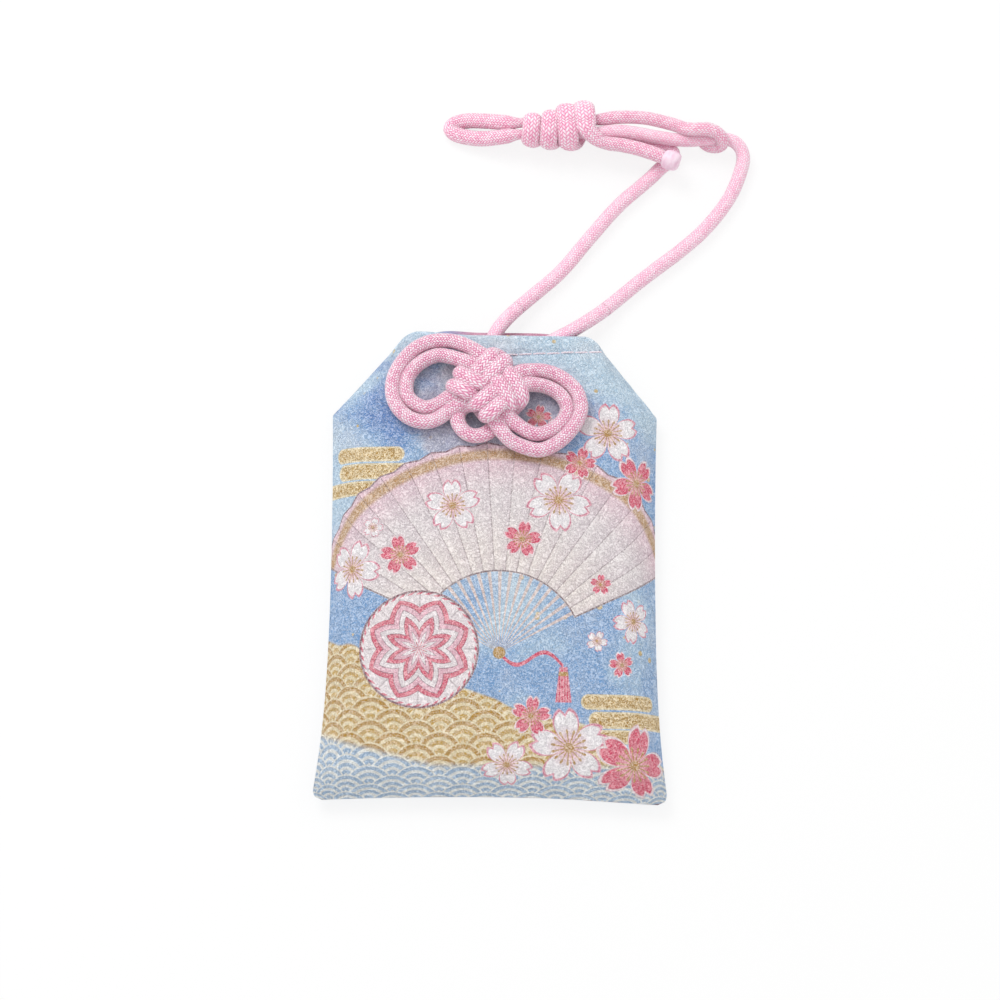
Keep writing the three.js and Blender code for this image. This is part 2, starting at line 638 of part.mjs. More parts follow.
// Hanging loop: in through the slip knot, round, and back through it to the stop knot
const pairHalf = (CORE_CORD + PAIR_GAP) / 2;
const pairRise = pairHalf / Math.sqrt(3);
const pairZ = SLIP_Z + pairRise;
const nearY = SLIP_Y - pairHalf;
const farY = SLIP_Y + pairHalf;
const endLoop = smoothCurve(vectors([
  [24.1, 68.9, 3.35], [21.5, 69.15, 3.65], [18.8, 69.25, 3.95], [16.0, nearY + 0.1, pairZ],
  [13.5, nearY, pairZ], [9, nearY, pairZ], [4.4, nearY, pairZ], [2.3, nearY, 4.0],
  [0.2, 68.45, 3.3], [-2.3, 68.5, 2.0], [-5.0, 68.9, 1.25], [-6.9, 69.7, 1.1],
  [-7.45, 70.5, 1.1], [-6.6, 71.5, 1.1], [-4.6, 72.0, 1.3], [-2.0, 71.9, 2.1],
  [0.3, 71.2, 3.3], [2.3, farY + 0.05, 4.0], [4.4, farY, pairZ], [9, farY, pairZ],
  [13.5, farY, pairZ], [16.0, farY + 0.3, 4.1], [18.8, 71.2, 4.15], [23.0, 71.35, 4.0],
  [26.0, 71.1, 3.95], [28.3, 70.55, 3.95],
]));
const pairTo = new THREE.Vector3(28.3, SLIP_Y + 0.5, SLIP_Z);
const inPair = squeezedRadius(slipFrom, pairTo, CORE_CORD, 1.9, 3.4);
printLeastGap('end_loop', endLoop, inPair);
addPiece('end_loop', cordTube(endLoop, 1.6, KNOT_SIDES, inPair), PINK, 0.75, cords);

// Slip knot: the left strand's end turns under the pair, winds round it and leaves as the tail
const slipRoute = vectors([
  [25.5, 64.3, 1.1], [26.3, 65.4, 1.1], [26.4, 66.6, 1.1], [25.6, 67.5, 1.1],
  [23.8, 67.9, 1.1], [21.3, 68.2, 1.15], [18.8, 68.7, 1.5], [16.6, 69.3, 2.1],
  [14.5, SLIP_Y, SLIP_Z - 2 * pairRise], [9, SLIP_Y, SLIP_Z - 2 * pairRise],
  [SLIP_START_X, SLIP_Y, SLIP_Z - 2 * pairRise], [3.2, SLIP_Y, 2.2], [2.95, SLIP_Y, 1.55],
  [3.35, SLIP_Y, 0.9],
]);
const slipSteps = SLIP_TURNS * SLIP_STEPS_PER_TURN;
for (let i = 0; i <= slipSteps; i++) {
  const turn = i / SLIP_STEPS_PER_TURN;
  const angle = 2 * Math.PI * turn - Math.PI / 2;
  const wide = SLIP_RADIUS + SLIP_SWELL * THREE.MathUtils.smoothstep(turn, 1.5, 2.5);
  slipRoute.push(new THREE.Vector3(
    SLIP_START_X + SLIP_PITCH * turn,
    SLIP_Y + wide * Math.cos(angle),
    SLIP_Z + SLIP_RADIUS * Math.sin(angle),
  ));
}
slipRoute.push(...vectors([
  [14.4, 67.05, 4.6], [16.4, 67.0, 4.0], [18.8, 66.7, 3.8], [21.3, 66.1, 3.8],
  [23.6, 65.3, 3.85], [25.4, 64.7, 3.85],
]));
const slipCurve = smoothCurve(slipRoute);
const atSlipKnot = squeezedRadius(slipFrom, slipTo, KNOT_CORD, 3.8, 3.5);
printLeastGap('slip_knot', slipCurve, atSlipKnot);
addPiece('slip_knot', cordTube(slipCurve, 1.2, KNOT_SIDES, atSlipKnot), PINK, 0.75, cords);

// Melted tip on the tail's end
const tip = new THREE.LatheGeometry([
  new THREE.Vector2(0, 0), new THREE.Vector2(0.8 * CORD / 2, 0),
  new THREE.Vector2(0.95 * TIP_DIAMETER / 2, 0.35 * TIP_LENGTH),
  new THREE.Vector2(TIP_DIAMETER / 2, 0.65 * TIP_LENGTH),
  new THREE.Vector2(0.6 * TIP_DIAMETER / 2, TIP_LENGTH),
  new THREE.Vector2(0, TIP_LENGTH),
], 12);
const tipMesh = addPiece('melted_tip', tip, PALE_PINK, 0.35, cords);
const tailEnd = slipCurve.getPointAt(1);
const tailWay = slipCurve.getTangentAt(1);
tipMesh.position.copy(tailEnd).addScaledVector(tailWay, GAP);
tipMesh.quaternion.setFromUnitVectors(new THREE.Vector3(0, 1, 0), tailWay);

// Stop knot: the loop's other end wound round the right strand
const stopRoute = vectors([[28.7, 70.45, 3.95], [30.0, 70.25, 3.95]]);
const stopSteps = STOP_TURNS * STOP_STEPS_PER_TURN;
for (let i = 0; i <= stopSteps; i++) {
  const turn = i / STOP_STEPS_PER_TURN;
  const angle = STOP_START_ANGLE + 2 * Math.PI * turn;
  stopRoute.push(new THREE.Vector3(
    STOP_START_X + STOP_PITCH * turn,
    STOP_Y + STOP_RADIUS * Math.cos(angle),
    STOP_Z + STOP_RADIUS * Math.sin(angle),
  ));
}
const stopCurve = smoothCurve(stopRoute);
printLeastGap('stop_knot', stopCurve, evenRadius(KNOT_CORD));
const stopTube = cordTube(stopCurve, 1, KNOT_SIDES, evenRadius(KNOT_CORD));
addPiece('stop_knot', stopTube, PINK, 0.75, cords);

export default part;
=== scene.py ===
import math

import bpy
import numpy as np
from mathutils import Matrix, Vector


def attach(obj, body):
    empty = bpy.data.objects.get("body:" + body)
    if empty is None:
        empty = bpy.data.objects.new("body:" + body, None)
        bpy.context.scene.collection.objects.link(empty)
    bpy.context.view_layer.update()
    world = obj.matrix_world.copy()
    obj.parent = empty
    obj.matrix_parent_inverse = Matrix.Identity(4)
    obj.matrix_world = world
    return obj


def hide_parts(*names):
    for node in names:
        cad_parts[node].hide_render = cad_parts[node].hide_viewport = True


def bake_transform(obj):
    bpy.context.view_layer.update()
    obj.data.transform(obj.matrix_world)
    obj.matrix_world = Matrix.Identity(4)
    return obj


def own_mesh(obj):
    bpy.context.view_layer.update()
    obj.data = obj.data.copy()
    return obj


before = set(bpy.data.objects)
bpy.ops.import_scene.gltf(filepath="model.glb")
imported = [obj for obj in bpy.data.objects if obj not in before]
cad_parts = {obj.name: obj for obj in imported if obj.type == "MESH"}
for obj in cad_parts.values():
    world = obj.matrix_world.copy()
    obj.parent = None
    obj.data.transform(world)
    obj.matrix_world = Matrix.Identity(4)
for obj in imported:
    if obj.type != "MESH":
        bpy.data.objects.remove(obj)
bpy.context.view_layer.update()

bl_info = {
    "name": "Amulet Pouch",
    "version": (1, 0, 0),
    "blender": (4, 5, 0),
    "location": "View3D > Sidebar > Amulet",
    "description": "Builds a printed cloth amulet pouch with a knotted braided cord",
    "category": "Object",
}

MM = 0.001

# Places in the part's frame, in millimetres
HOLE_CENTRE = (0.15, 28.85)
HOLE_SIZE = (4.5, 2.3)
KNOT_CENTRE = (-0.7, 24.3)
KNOT_PRESS = 0.6

# Heights over the front cloth of the layers of the front knot, in millimetres
FIRST_LAYER = 1.15
BACK_LAYER = 1.05
UNDER = 3.5
CLIMB = 4.725
OVER = 5.95


def pressed(height):
    """Height of a strand in the knot when its layers are pressed on each other."""
    return min(height, FIRST_LAYER) + max(height - FIRST_LAYER, 0.0) * KNOT_PRESS


def lying(x, y, height):
    """A place in the knot, from its middle, at a height over the cloth."""
    return (x - KNOT_CENTRE[0], y - KNOT_CENTRE[1], pressed(height))


FRONT_KNOT_ROUTE = [lying(*place) for place in [
    # Up out of the hole and over the end of the top band
    (1.2, 28.9, 0.55), (0.85, 29.2, 1.9), (-0.31, 29.43, 3.3),
    (-0.78, 28.5, 5.3), (-1.56, 27.35, OVER), (-2.28, 26.48, 5.6),
    (-3.07, 25.68, CLIMB), (-3.96, 24.91, UNDER), (-4.95, 23.83, UNDER),
    # Inner turn of the left loop
    (-6.0, 23.12, 2.9), (-7.17, 22.54, 2.0), (-8.7, 21.75, 1.2),
    (-10.2, 21.35, 1.15), (-11.75, 21.9, 1.15), (-12.85, 23.0, 1.15),
    (-13.2, 24.5, 1.15), (-12.95, 26.2, 1.15), (-12.0, 27.8, 1.2),
    (-10.5, 29.05, 1.4), (-8.6, 29.75, 1.7), (-6.97, 29.46, 2.1),
    (-5.14, 28.74, 2.7), (-3.43, 27.91, 3.1),
    # Right band, inner strand, and the hop behind the square
    (-1.82, 26.86, UNDER), (-0.76, 26.19, UNDER), (-0.01, 25.26, CLIMB),
    (0.79, 23.83, OVER), (1.59, 22.49, OVER), (2.18, 21.5, 5.2),
    (2.35, 21.39, 3.4), (2.19, 22.05, 1.9), (1.82, 23.06, BACK_LAYER),
    (1.33, 24.41, BACK_LAYER), (1.05, 25.66, BACK_LAYER), (1.15, 27.03, BACK_LAYER),
    # Top band, lower strand
    (1.4, 27.96, 1.8), (1.39, 28.34, 3.4), (1.13, 27.81, 5.2),
    (0.45, 26.87, OVER), (-0.33, 26.07, OVER), (-1.01, 25.44, 5.3),
    (-1.79, 24.73, 4.3), (-2.74, 23.85, UNDER), (-3.78, 22.71, UNDER),
    # Outer turn of the left loop
    (-5.04, 21.9, 2.8), (-6.3, 21.0, 2.0), (-8.7, 19.42, 1.2),
    (-10.45, 19.03, 1.15), (-12.35, 19.52, 1.15), (-13.88, 20.7, 1.15),
    (-14.95, 22.5, 1.15), (-15.28, 24.5, 1.15), (-14.88, 26.8, 1.15),
    (-13.72, 28.98, 1.25), (-12.0, 30.85, 1.5), (-9.85, 31.9, 1.85),
    (-6.85, 32.05, 2.1), (-5.0, 31.4, 2.6), (-3.4, 30.5, 3.0),
    # Right band, outer strand
    (-1.96, 29.36, UNDER), (-0.57, 28.41, UNDER), (0.71, 27.51, UNDER),
    (1.67, 26.35, CLIMB), (2.52, 24.91, OVER), (3.26, 23.74, OVER),
    (3.74, 22.79, 5.5), (3.86, 22.12, 4.6), (3.66, 21.94, 3.3),
    # Small loop at the bottom
    (3.14, 21.65, 2.0), (2.11, 20.7, 1.3), (0.94, 19.51, BACK_LAYER),
    (-0.23, 18.14, BACK_LAYER), (-1.47, 17.2, BACK_LAYER),
    (-2.9, 16.9, BACK_LAYER), (-4.2, 17.35, BACK_LAYER),
    (-5.15, 18.5, BACK_LAYER), (-5.5, 19.89, 1.1), (-5.07, 21.02, 1.3),
    (-4.2, 21.55, 2.0), (-3.35, 21.5, 2.9),
    # Bottom band, upper strand
    (-2.75, 21.25, 4.2), (-2.35, 21.15, 5.3), (-1.8, 21.45, OVER),
    (-1.0, 22.2, OVER), (-0.19, 23.03, 5.5), (0.64, 23.97, CLIMB),
    (1.48, 25.02, UNDER), (2.53, 25.88, UNDER),
    # Outer turn of the right loop
    (3.58, 26.65, 3.0), (4.9, 27.15, 2.3), (6.9, 27.4, 1.6),
    (8.9, 26.95, 1.2),
    (10.8, 25.7, 1.15), (12.2, 24.0, 1.15), (12.75, 21.6, 1.15),
    (12.25, 19.6, 1.15), (10.8, 17.35, 1.15), (8.9, 15.62, 1.15),
    (6.7, 14.68, 1.15), (4.5, 15.0, 1.5), (2.35, 15.95, 2.0),
    (1.12, 17.15, 2.8),
    (0.21, 18.63, 3.3),
    # Left band, outer strand, and the hop behind the square
    (-0.69, 20.14, UNDER), (-1.66, 21.38, UNDER), (-2.63, 22.32, UNDER),
    (-3.5, 22.65, CLIMB), (-4.44, 22.91, OVER), (-5.29, 23.4, 5.5),
    (-5.94, 23.9, 4.5), (-6.12, 24.26, 3.3), (-5.93, 24.42, 2.0),
    (-5.35, 24.23, BACK_LAYER), (-4.44, 23.33, BACK_LAYER),
    (-3.37, 22.44, BACK_LAYER), (-2.3, 21.5, BACK_LAYER), (-1.7, 20.65, 1.15),
    # Bottom band, lower strand
    (-1.35, 20.0, 1.9), (-1.2, 19.6, 3.4), (-1.05, 19.35, 5.0),
    (-0.5, 19.5, OVER), (0.35, 20.35, OVER), (1.02, 21.15, 5.4),
    (1.71, 21.95, CLIMB), (2.44, 23.0, UNDER), (3.49, 23.97, UNDER),
    # Inner turn of the right loop
    (4.55, 24.75, 2.9), (5.9, 25.0, 2.1), (7.55, 24.85, 1.4),
    (9.05, 24.15, 1.15),
    (10.18, 22.95, 1.15), (10.7, 21.4, 1.15), (10.25, 19.75, 1.15),
    (8.9, 18.3, 1.15), (7.2, 17.35, 1.3), (5.6, 17.2, 1.7), (2.86, 18.72, 2.4),
    (1.67, 19.94, 3.1),
    # Left band, inner strand, then behind the square and down into the hole
    (0.77, 21.17, UNDER), (-0.12, 22.26, UNDER), (-0.87, 23.28, UNDER),
    (-1.68, 24.11, CLIMB), (-2.62, 24.33, OVER), (-3.68, 24.85, OVER),
    (-4.59, 25.45, 5.4), (-5.03, 25.99, 4.4), (-5.1, 26.39, 3.2),
    (-4.85, 26.79, 1.9), (-4.07, 27.03, BACK_LAYER), (-3.01, 27.33, BACK_LAYER),
    (-1.84, 27.85, BACK_LAYER), (-1.1, 28.4, 0.85), (-0.9, 28.72, 0.5),
]]

# From the hole to a point inside the pouch, then on to the free strands
LEFT_STUB = [(-0.95, 28.95, 4.9), (-0.95, 29.4, 4.2), (-0.9, 30.2, 3.4), (-0.9, 31.0, 3.1)]
RIGHT_STUB = [(1.3, 29.1, 4.9), (1.5, 29.6, 4.2), (2.1, 30.4, 3.4), (2.8, 31.0, 3.1)]
LEFT_STRAND = [
    (-0.9, 31.0, 3.4), (-0.8, 32.2, 2.75), (-0.5, 33.9, 2.5), (0.45, 35.9, 2.5),
    (2.15, 38.2, 2.1), (4.4, 40.6, 1.6), (6.95, 43.1, 1.2), (9.45, 45.5, 1.1),
    (11.45, 47.85, 1.1), (13.55, 50.65, 1.1), (15.5, 53.15, 1.1), (17.55, 55.75, 1.1),
    (19.9, 58.35, 1.1), (22.5, 60.75, 1.1), (24.2, 62.4, 1.1), (25.8, 64.1, 1.1),
    (27.3, 65.3, 1.1), (27.6, 66.5, 1.1), (26.7, 67.3, 1.1), (24.4, 67.7, 1.1),
    (21.3, 68.1, 1.15), (18.8, 68.5, 1.5), (16.6, 69.0, 2.1), (14.5, 69.2, 2.58),
    (9.0, 69.2, 2.58), (4.2, 69.2, 2.58),
]
RIGHT_STRAND = [
    (3.0, 31.1, 3.4), (4.4, 31.8, 2.75), (6.9, 33.0, 2.6), (9.2, 34.15, 2.8),
    (11.5, 35.45, 2.85), (13.25, 36.72, 2.5), (15.8, 38.78, 1.8), (18.5, 41.28, 1.2),
    (21.52, 44.02, 1.1), (24.85, 46.8, 1.1), (28.27, 49.6, 1.1), (31.58, 52.68, 1.1),
    (34.43, 56.1, 1.1), (36.68, 59.72, 1.1), (38.1, 63.4, 1.2), (38.55, 65.5, 1.5),
    (38.1, 67.1, 1.95), (36.9, 68.1, 2.35), (35.2, 68.35, 2.5), (32.5, 68.3, 2.5),
    (30.0, 68.05, 2.55), (27.4, 68.0, 2.9), (24.1, 68.3, 3.35), (21.5, 68.65, 3.65),
    (18.8, 68.8, 3.95), (16.0, 68.5, 4.1), (13.5, 68.4, 4.1), (9.0, 68.3, 4.1),
    (5.2, 68.2, 4.0),
]
HANGING_LOOP = [
    (5.6, 68.2, 4.0), (4.4, 68.15, 3.9), (2.3, 68.15, 3.5), (0.2, 68.15, 2.8),
    (-2.3, 68.3, 1.95), (-5.0, 68.85, 1.4), (-6.9, 69.6, 1.25), (-7.45, 70.4, 1.25),
    (-6.6, 71.3, 1.25), (-4.6, 71.7, 1.4), (-2.0, 71.3, 2.1), (0.3, 70.6, 3.1),
    (2.3, 70.15, 3.7), (4.4, 70.1, 4.0), (5.6, 70.1, 4.0),
]
STOP_RUN = [
    (5.2, 70.1, 4.0), (9.0, 70.2, 4.1), (13.5, 70.4, 4.1), (16.0, 70.7, 4.1),
    (18.8, 71.1, 4.15), (23.0, 71.15, 3.9), (26.0, 70.65, 3.6), (28.2, 69.95, 3.65),
    (29.2, 69.3, 4.1), (30.3, 68.88, 4.65), (31.5, 68.76, 4.95), (32.75, 68.68, 4.95),
    (34.0, 68.42, 4.65), (34.85, 67.95, 4.05), (35.2, 67.6, 3.25), (34.95, 67.38, 2.3),
    (34.1, 67.52, 1.5), (33.1, 68.0, 1.1), (32.3, 68.75, 1.1), (32.0, 69.6, 1.25),
    (32.1, 70.1, 2.0), (32.6, 70.0, 2.8), (33.5, 69.5, 3.3),
]

# Slip knot: y and z of its axis, its turns, and how far along x it is at each turn
SLIP_AXIS = (69.3, 3.5)
SLIP_TURNS = 3.6
STEPS_PER_TURN = 16
SLIP_RUN = (
    (0.0, 0.25, 0.75, 1.0, 1.25, 1.5, 1.75, 2.0, 2.25, 2.75, 3.0, 3.25, 3.75),
    (5.8, 5.5, 5.1, 6.4, 8.4, 8.1, 7.9, 9.1, 10.6, 11.1, 12.4, 13.3, 14.0),
)
SLIP_RADIUS = 2.0
SLIP_TAIL = [
    (15.7, 66.9, 4.5), (17.1, 66.6, 4.1), (19.1, 66.5, 3.8), (21.6, 65.95, 3.8),
    (23.9, 65.15, 3.85), (25.8, 64.4, 3.85),
]

# Sizes in metres
PAIR_RADIUS = 0.00078
STRAND_STEP = 0.0003
WRAP_STEP = 0.00026
SEAM_GAP = 0.00003
PRINT_SPAN = 0.1


# Settings that a user would change
def linear(*channels):
    """A colour written in 0 to 255 steps, as the linear values that the shaders use."""
    shares = [value / 255 for value in channels]
    return [s / 12.92 if s <= 0.04045 else ((s + 0.055) / 1.055) ** 2.4 for s in shares]


def length(label, default, words):
    return bpy.props.FloatProperty(
        name=label, description=words, default=default, min=0, precision=5, unit="LENGTH")


def colour(label, default, words):
    return bpy.props.FloatVectorProperty(
        name=label, description=words, default=linear(*default), size=3, min=0, max=1,
        subtype="COLOR")


class PouchSettings(bpy.types.PropertyGroup):
    front_height: length("Front height", 0.0700, "Height of the front cloth up to its hem")
    rim_show: length("Rim show", 0.00195, "How far the back cloth stands past the front hem")
    shoulder_drop: length("Shoulder drop", 0.0124, "Depth of the slanted shoulders below the hem")
    waist_height: length("Waist height", 0.028, "Height of the narrowest place of the sides")
    base_width: length("Base width", 0.0502, "Width at the base")
    waist_width: length("Waist width", 0.0474, "Width at the waist")
    shoulder_width: length("Shoulder width", 0.0486, "Width at the shoulders")
    left_mouth: length("Left mouth", 0.0134, "Half width of the mouth on the left")
    right_mouth: length("Right mouth", 0.0150, "Half width of the mouth on the right")
    corner_radius: length("Corner radius", 0.0015, "Radius of the corners of the base")
    base_draw: length("Base draw", 0.0006, "How far the base is drawn up in its middle")
    fabric: length("Cloth thickness", 0.0006, "Thickness of the crepe cloth")
    hem_depth: length("Hem depth", 0.0024, "Depth of the folded hem, down to its stitches")
    seam_level: length("Seam level", 0.0022, "Height of the side seams over the table")
    edge_roll: length("Edge roll", 0.0055, "Width of the rolled edge along the seams")
    edge_rise: length("Edge rise", 0.00225, "Rise of the front cloth over the rolled edge")
    crown: length("Crown", 0.0016, "Further rise of the front cloth towards its middle")
    pucker: length("Pucker", 0.00011, "Height of the puckers along the seams")


class CordSettings(bpy.types.PropertyGroup):
    free_diameter: length("Free diameter", 0.00218, "Diameter of the free cord")
    knot_diameter: length("Knot diameter", 0.0022, "Diameter of the cord in the front knot")
    wrap_diameter: length("Wrap diameter", 0.00205, "Diameter of the cord in the small knots")
    cells_round: bpy.props.IntProperty(
        name="Cells round", description="Yarns round the cord, each way, an even number",
        default=18, min=4, max=32)
    cell_length: length("Cell length", 0.00048, "Length of a braid cell along the cord")
    # Colours of three lit and shaded copies of the cord: tight and darkest for the front knot,
    # wound for the small knots, soft and brightest for the free strands. The crease colours are
    # painted shade between the yarns; the colours on top of the yarns are a painted highlight.
    tight_crease: colour("Tight crease", (186, 70, 120), "Colour between the yarns of the knot")
    tight_yarn: colour("Tight yarn", (243, 158, 194), "Colour of the yarns of the knot")
    tight_shine: colour("Tight shine", (255, 242, 249), "Colour on top of the yarns of the knot")
    wound_crease: colour("Wound crease", (218, 96, 146), "Colour between the yarns of wound cord")
    wound_yarn: colour("Wound yarn", (254, 174, 206), "Colour of the yarns of wound cord")
    wound_shine: colour("Wound shine", (255, 236, 245), "Colour on top of the yarns of wound cord")
    soft_crease: colour("Soft crease", (238, 148, 186), "Colour between the yarns of the free cord")
    soft_yarn: colour("Soft yarn", (255, 192, 217), "Colour of the yarns of the free cord")
    soft_shine: colour("Soft shine", (255, 232, 243), "Colour on top of the yarns of the free cord")
    melted: colour("Melted", (243, 219, 232), "Colour of the melted end")


class PrintSettings(bpy.types.PropertyGroup):
    sky: colour("Sky", (130, 172, 220), "Blue ground of the print")
    sky_deep: colour("Deep sky", (84, 130, 202), "Deepest blue of the ground")
    sky_pale: colour("Pale sky", (188, 216, 236), "Palest blue of the ground")
    gold: colour("Gold", (194, 148, 62), "Gold of the bands and waves")
    gold_pale: colour("Pale gold", (243, 227, 186), "Outline of the gold")
    petal: colour("Petal", (250, 244, 246), "White blossoms")
    petal_rim: colour("Petal rim", (226, 98, 136), "Outline and heart of the white blossoms")
    coral: colour("Coral", (230, 86, 116), "Red blossoms")
    leaf: colour("Fan leaf", (240, 230, 230), "Middle of the fan's leaf")
    leaf_edge: colour("Fan edge", (244, 205, 217), "Outer part of the fan's leaf")
    ink: colour("Ink", (98, 54, 68), "Fine outlines")
    lining: colour("Lining", (214, 150, 176), "Inner side of the cloth at the mouth")


class StageSettings(bpy.types.PropertyGroup):
    target: bpy.props.FloatVectorProperty(
        name="Target", description="Point that the camera looks at",
        default=(0.000906, 0.008638, 0.002), size=3, precision=5, subtype="XYZ")
    distance: length("Distance", 0.30873, "Distance of the camera from its target")
    elevation: bpy.props.FloatProperty(
        name="Elevation", description="Angle of the camera above the horizon",
        default=math.radians(72), subtype="ANGLE")
    roll: bpy.props.FloatProperty(
        name="Roll", description="Turn of the camera about its own axis",
        default=math.radians(0.56), subtype="ANGLE")
    view_angle: bpy.props.FloatProperty(
        name="View angle", description="Angle of view across the picture",
        default=2 * math.atan(500 / 2083), subtype="ANGLE")
    sky_light: bpy.props.FloatProperty(
        name="Room light", description="Strength of the even light from all sides",
        default=0.87, min=0)
    key_power: bpy.props.FloatProperty(
        name="Key power", description="Power of the large lamp", default=0.85, min=0, unit="POWER")


# Meshes
def mesh_object(name, corners, faces, uvs=None, material=None, second=None, second_from=None):
    """A smooth mesh object. From face second_from on, the faces take the second material."""
    mesh = bpy.data.meshes.new(name)
    mesh.from_pydata([tuple(c) for c in corners], [], [tuple(f) for f in faces])
    if uvs is not None:
        layer = mesh.uv_layers.new(name="UVMap")
        layer.data.foreach_set("uv", np.asarray(uvs, np.float32).ravel())
    mesh.polygons.foreach_set("use_smooth", [True] * len(mesh.polygons))
    if material is not None:
        mesh.materials.append(material)
    if second is not None:
        mesh.materials.append(second)
        index = np.zeros(len(mesh.polygons), np.int32)
        index[second_from:] = 1
        mesh.polygons.foreach_set("material_index", index)
    mesh.update()
    made = bpy.data.objects.new(name, mesh)
    bpy.context.scene.collection.objects.link(made)
    return made


def smooth_path(points, step):
    """Points at even steps, in metres, along a smooth curve through points in millimetres."""
    given = np.array(points, float) * MM
    spread = np.vstack([2 * given[0] - given[1], given, 2 * given[-1] - given[-2]])
    share = np.linspace(0, 1, 24, endpoint=False)[:, None]
    pieces = []
    for i in range(1, len(spread) - 2):
        before, start, end, after = spread[i - 1:i + 3]
        first = np.linalg.norm(start - before) ** 0.5
        middle = np.linalg.norm(end - start) ** 0.5
        last = np.linalg.norm(after - end) ** 0.5
        leave = (start - before) / first - (end - before) / (first + middle)
        leave = (leave + (end - start) / middle) * middle
        reach = (end - start) / middle - (after - start) / (middle + last)
        reach = (reach + (after - end) / last) * middle
        square = 3 * (end - start) - 2 * leave - reach
        cube = 2 * (start - end) + leave + reach
        pieces.append(start + leave * share + square * share ** 2 + cube * share ** 3)
    dense = np.vstack([*pieces, spread[-2][None]])
    gone = np.linalg.norm(np.diff(dense, axis=0), axis=1)
    along = np.concatenate([[0], np.cumsum(gone)])
    even = np.linspace(0, along[-1], max(3, int(round(along[-1] / step)) + 1))
    return np.stack([np.interp(even, along, dense[:, k]) for k in range(3)], axis=1), even


def carried_frames(path):
    """Two directions across the path at each point, carried along without twist."""
    way = np.gradient(path, axis=0)
    way /= np.linalg.norm(way, axis=1)[:, None]
    side = np.cross(way[0], (0.0, 0.0, 1.0))
    if np.linalg.norm(side) < 0.1:
        side = np.cross(way[0], (1.0, 0.0, 0.0))
    sides = []
    for direction in way:
        side = side - direction * np.dot(side, direction)
        side = side / np.linalg.norm(side)
        sides.append(side)
    sides = np.array(sides)
    return sides, np.cross(way, sides)


def tube(name, path, along, radius, material, sides=18, begin=0.0):
    """A closed tube. Its UV map holds the share round the cord and the millimetres along it."""
    right, up = carried_frames(path)
    angle = np.linspace(0, 2 * math.pi, sides, endpoint=False)
    size = np.broadcast_to(np.asarray(radius, float), (len(path),))[:, None, None]
    ring = (np.cos(angle)[None, :, None] * right[:, None, :]
            + np.sin(angle)[None, :, None] * up[:, None, :])
    corners = (path[:, None, :] + size * ring).reshape(-1, 3)
    faces = []
    uvs = []
    lengths = (along + begin) / MM
    for i in range(len(path) - 1):
        for j in range(sides):
            k = (j + 1) % sides
            faces.append((i * sides + j, i * sides + k, (i + 1) * sides + k, (i + 1) * sides + j))
            low, high = lengths[i], lengths[i + 1]
            uvs += [(j / sides, low), ((j + 1) / sides, low),
                    ((j + 1) / sides, high), (j / sides, high)]
    last = (len(path) - 1) * sides
    faces.append(tuple(range(sides - 1, -1, -1)))
    uvs += [(j / sides, lengths[0]) for j in range(sides - 1, -1, -1)]
    faces.append(tuple(range(last, last + sides)))
    uvs += [(j / sides, lengths[-1]) for j in range(sides)]
    return mesh_object(name, corners, faces, uvs, material)


def reshape(cord, path, sides, across, along, up):
    """Stretches the rings of a tube about its path, by shares along X, Y and Z."""
    places = np.array([v.co for v in cord.data.vertices])
    middle = np.repeat(path, sides, axis=0)
    shares = np.stack(np.broadcast_arrays(across, along, up), axis=-1)
    places = middle + (places - middle) * np.repeat(shares, sides, axis=0)
    cord.data.vertices.foreach_set("co", places.astype(np.float32).ravel())


def squeezed(path, first, last, inner, outer, ease):
    """Radius along a path: inner between two x places, easing to outer beside them."""
    beside = np.maximum(0, np.maximum(first * MM - path[:, 0], path[:, 0] - last * MM))
    share = np.clip(beside / (ease * MM), 0, 1)
    return inner + (outer - inner) * share * share * (3 - 2 * share)


def pair_radius(path, cord):
    """Radius of a strand of the pair, which is squeezed where the slip knot holds it."""
    return squeezed(path, 4.0, 14.2, PAIR_RADIUS, cord.wrap_diameter / 2, 3.2)


def shell(name, outer, inner, flat, cut, outer_material, inner_material):
    """A closed cloth from two grids of points. Faces marked in cut are left out of both."""
    rows, columns = outer.shape[:2]
    count = rows * columns
    corners = np.vstack([outer.reshape(-1, 3), inner.reshape(-1, 3)])
    spots = np.vstack([flat.reshape(-1, 2), flat.reshape(-1, 2) - (0, 0.008)])
    top, under, walls = [], [], []
    edges = {}
    for i in range(rows - 1):
        for j in range(columns - 1):
            if cut[i, j]:
                continue
            a = i * columns + j
            loop = (a, a + 1, a + columns + 1, a + columns)
            top.append(loop)
            under.append(tuple(n + count for n in reversed(loop)))
            for start, end in zip(loop, loop[1:] + loop[:1]):
                if (end, start) in edges:
                    del edges[(end, start)]
                else:
                    edges[(start, end)] = True
    for start, end in edges:
        walls.append((end, start, start + count, end + count))
    faces = top + walls + under
    uvs = spots[np.concatenate([np.array(f) for f in faces])]
    return mesh_object(name, corners, faces, uvs, outer_material, inner_material,
                       len(top) + len(walls))


# Shape of the pouch, in metres
def soft_step(low, high, value):
    share = np.clip((value - low) / (high - low), 0, 1)
    return share * share * (3 - 2 * share)


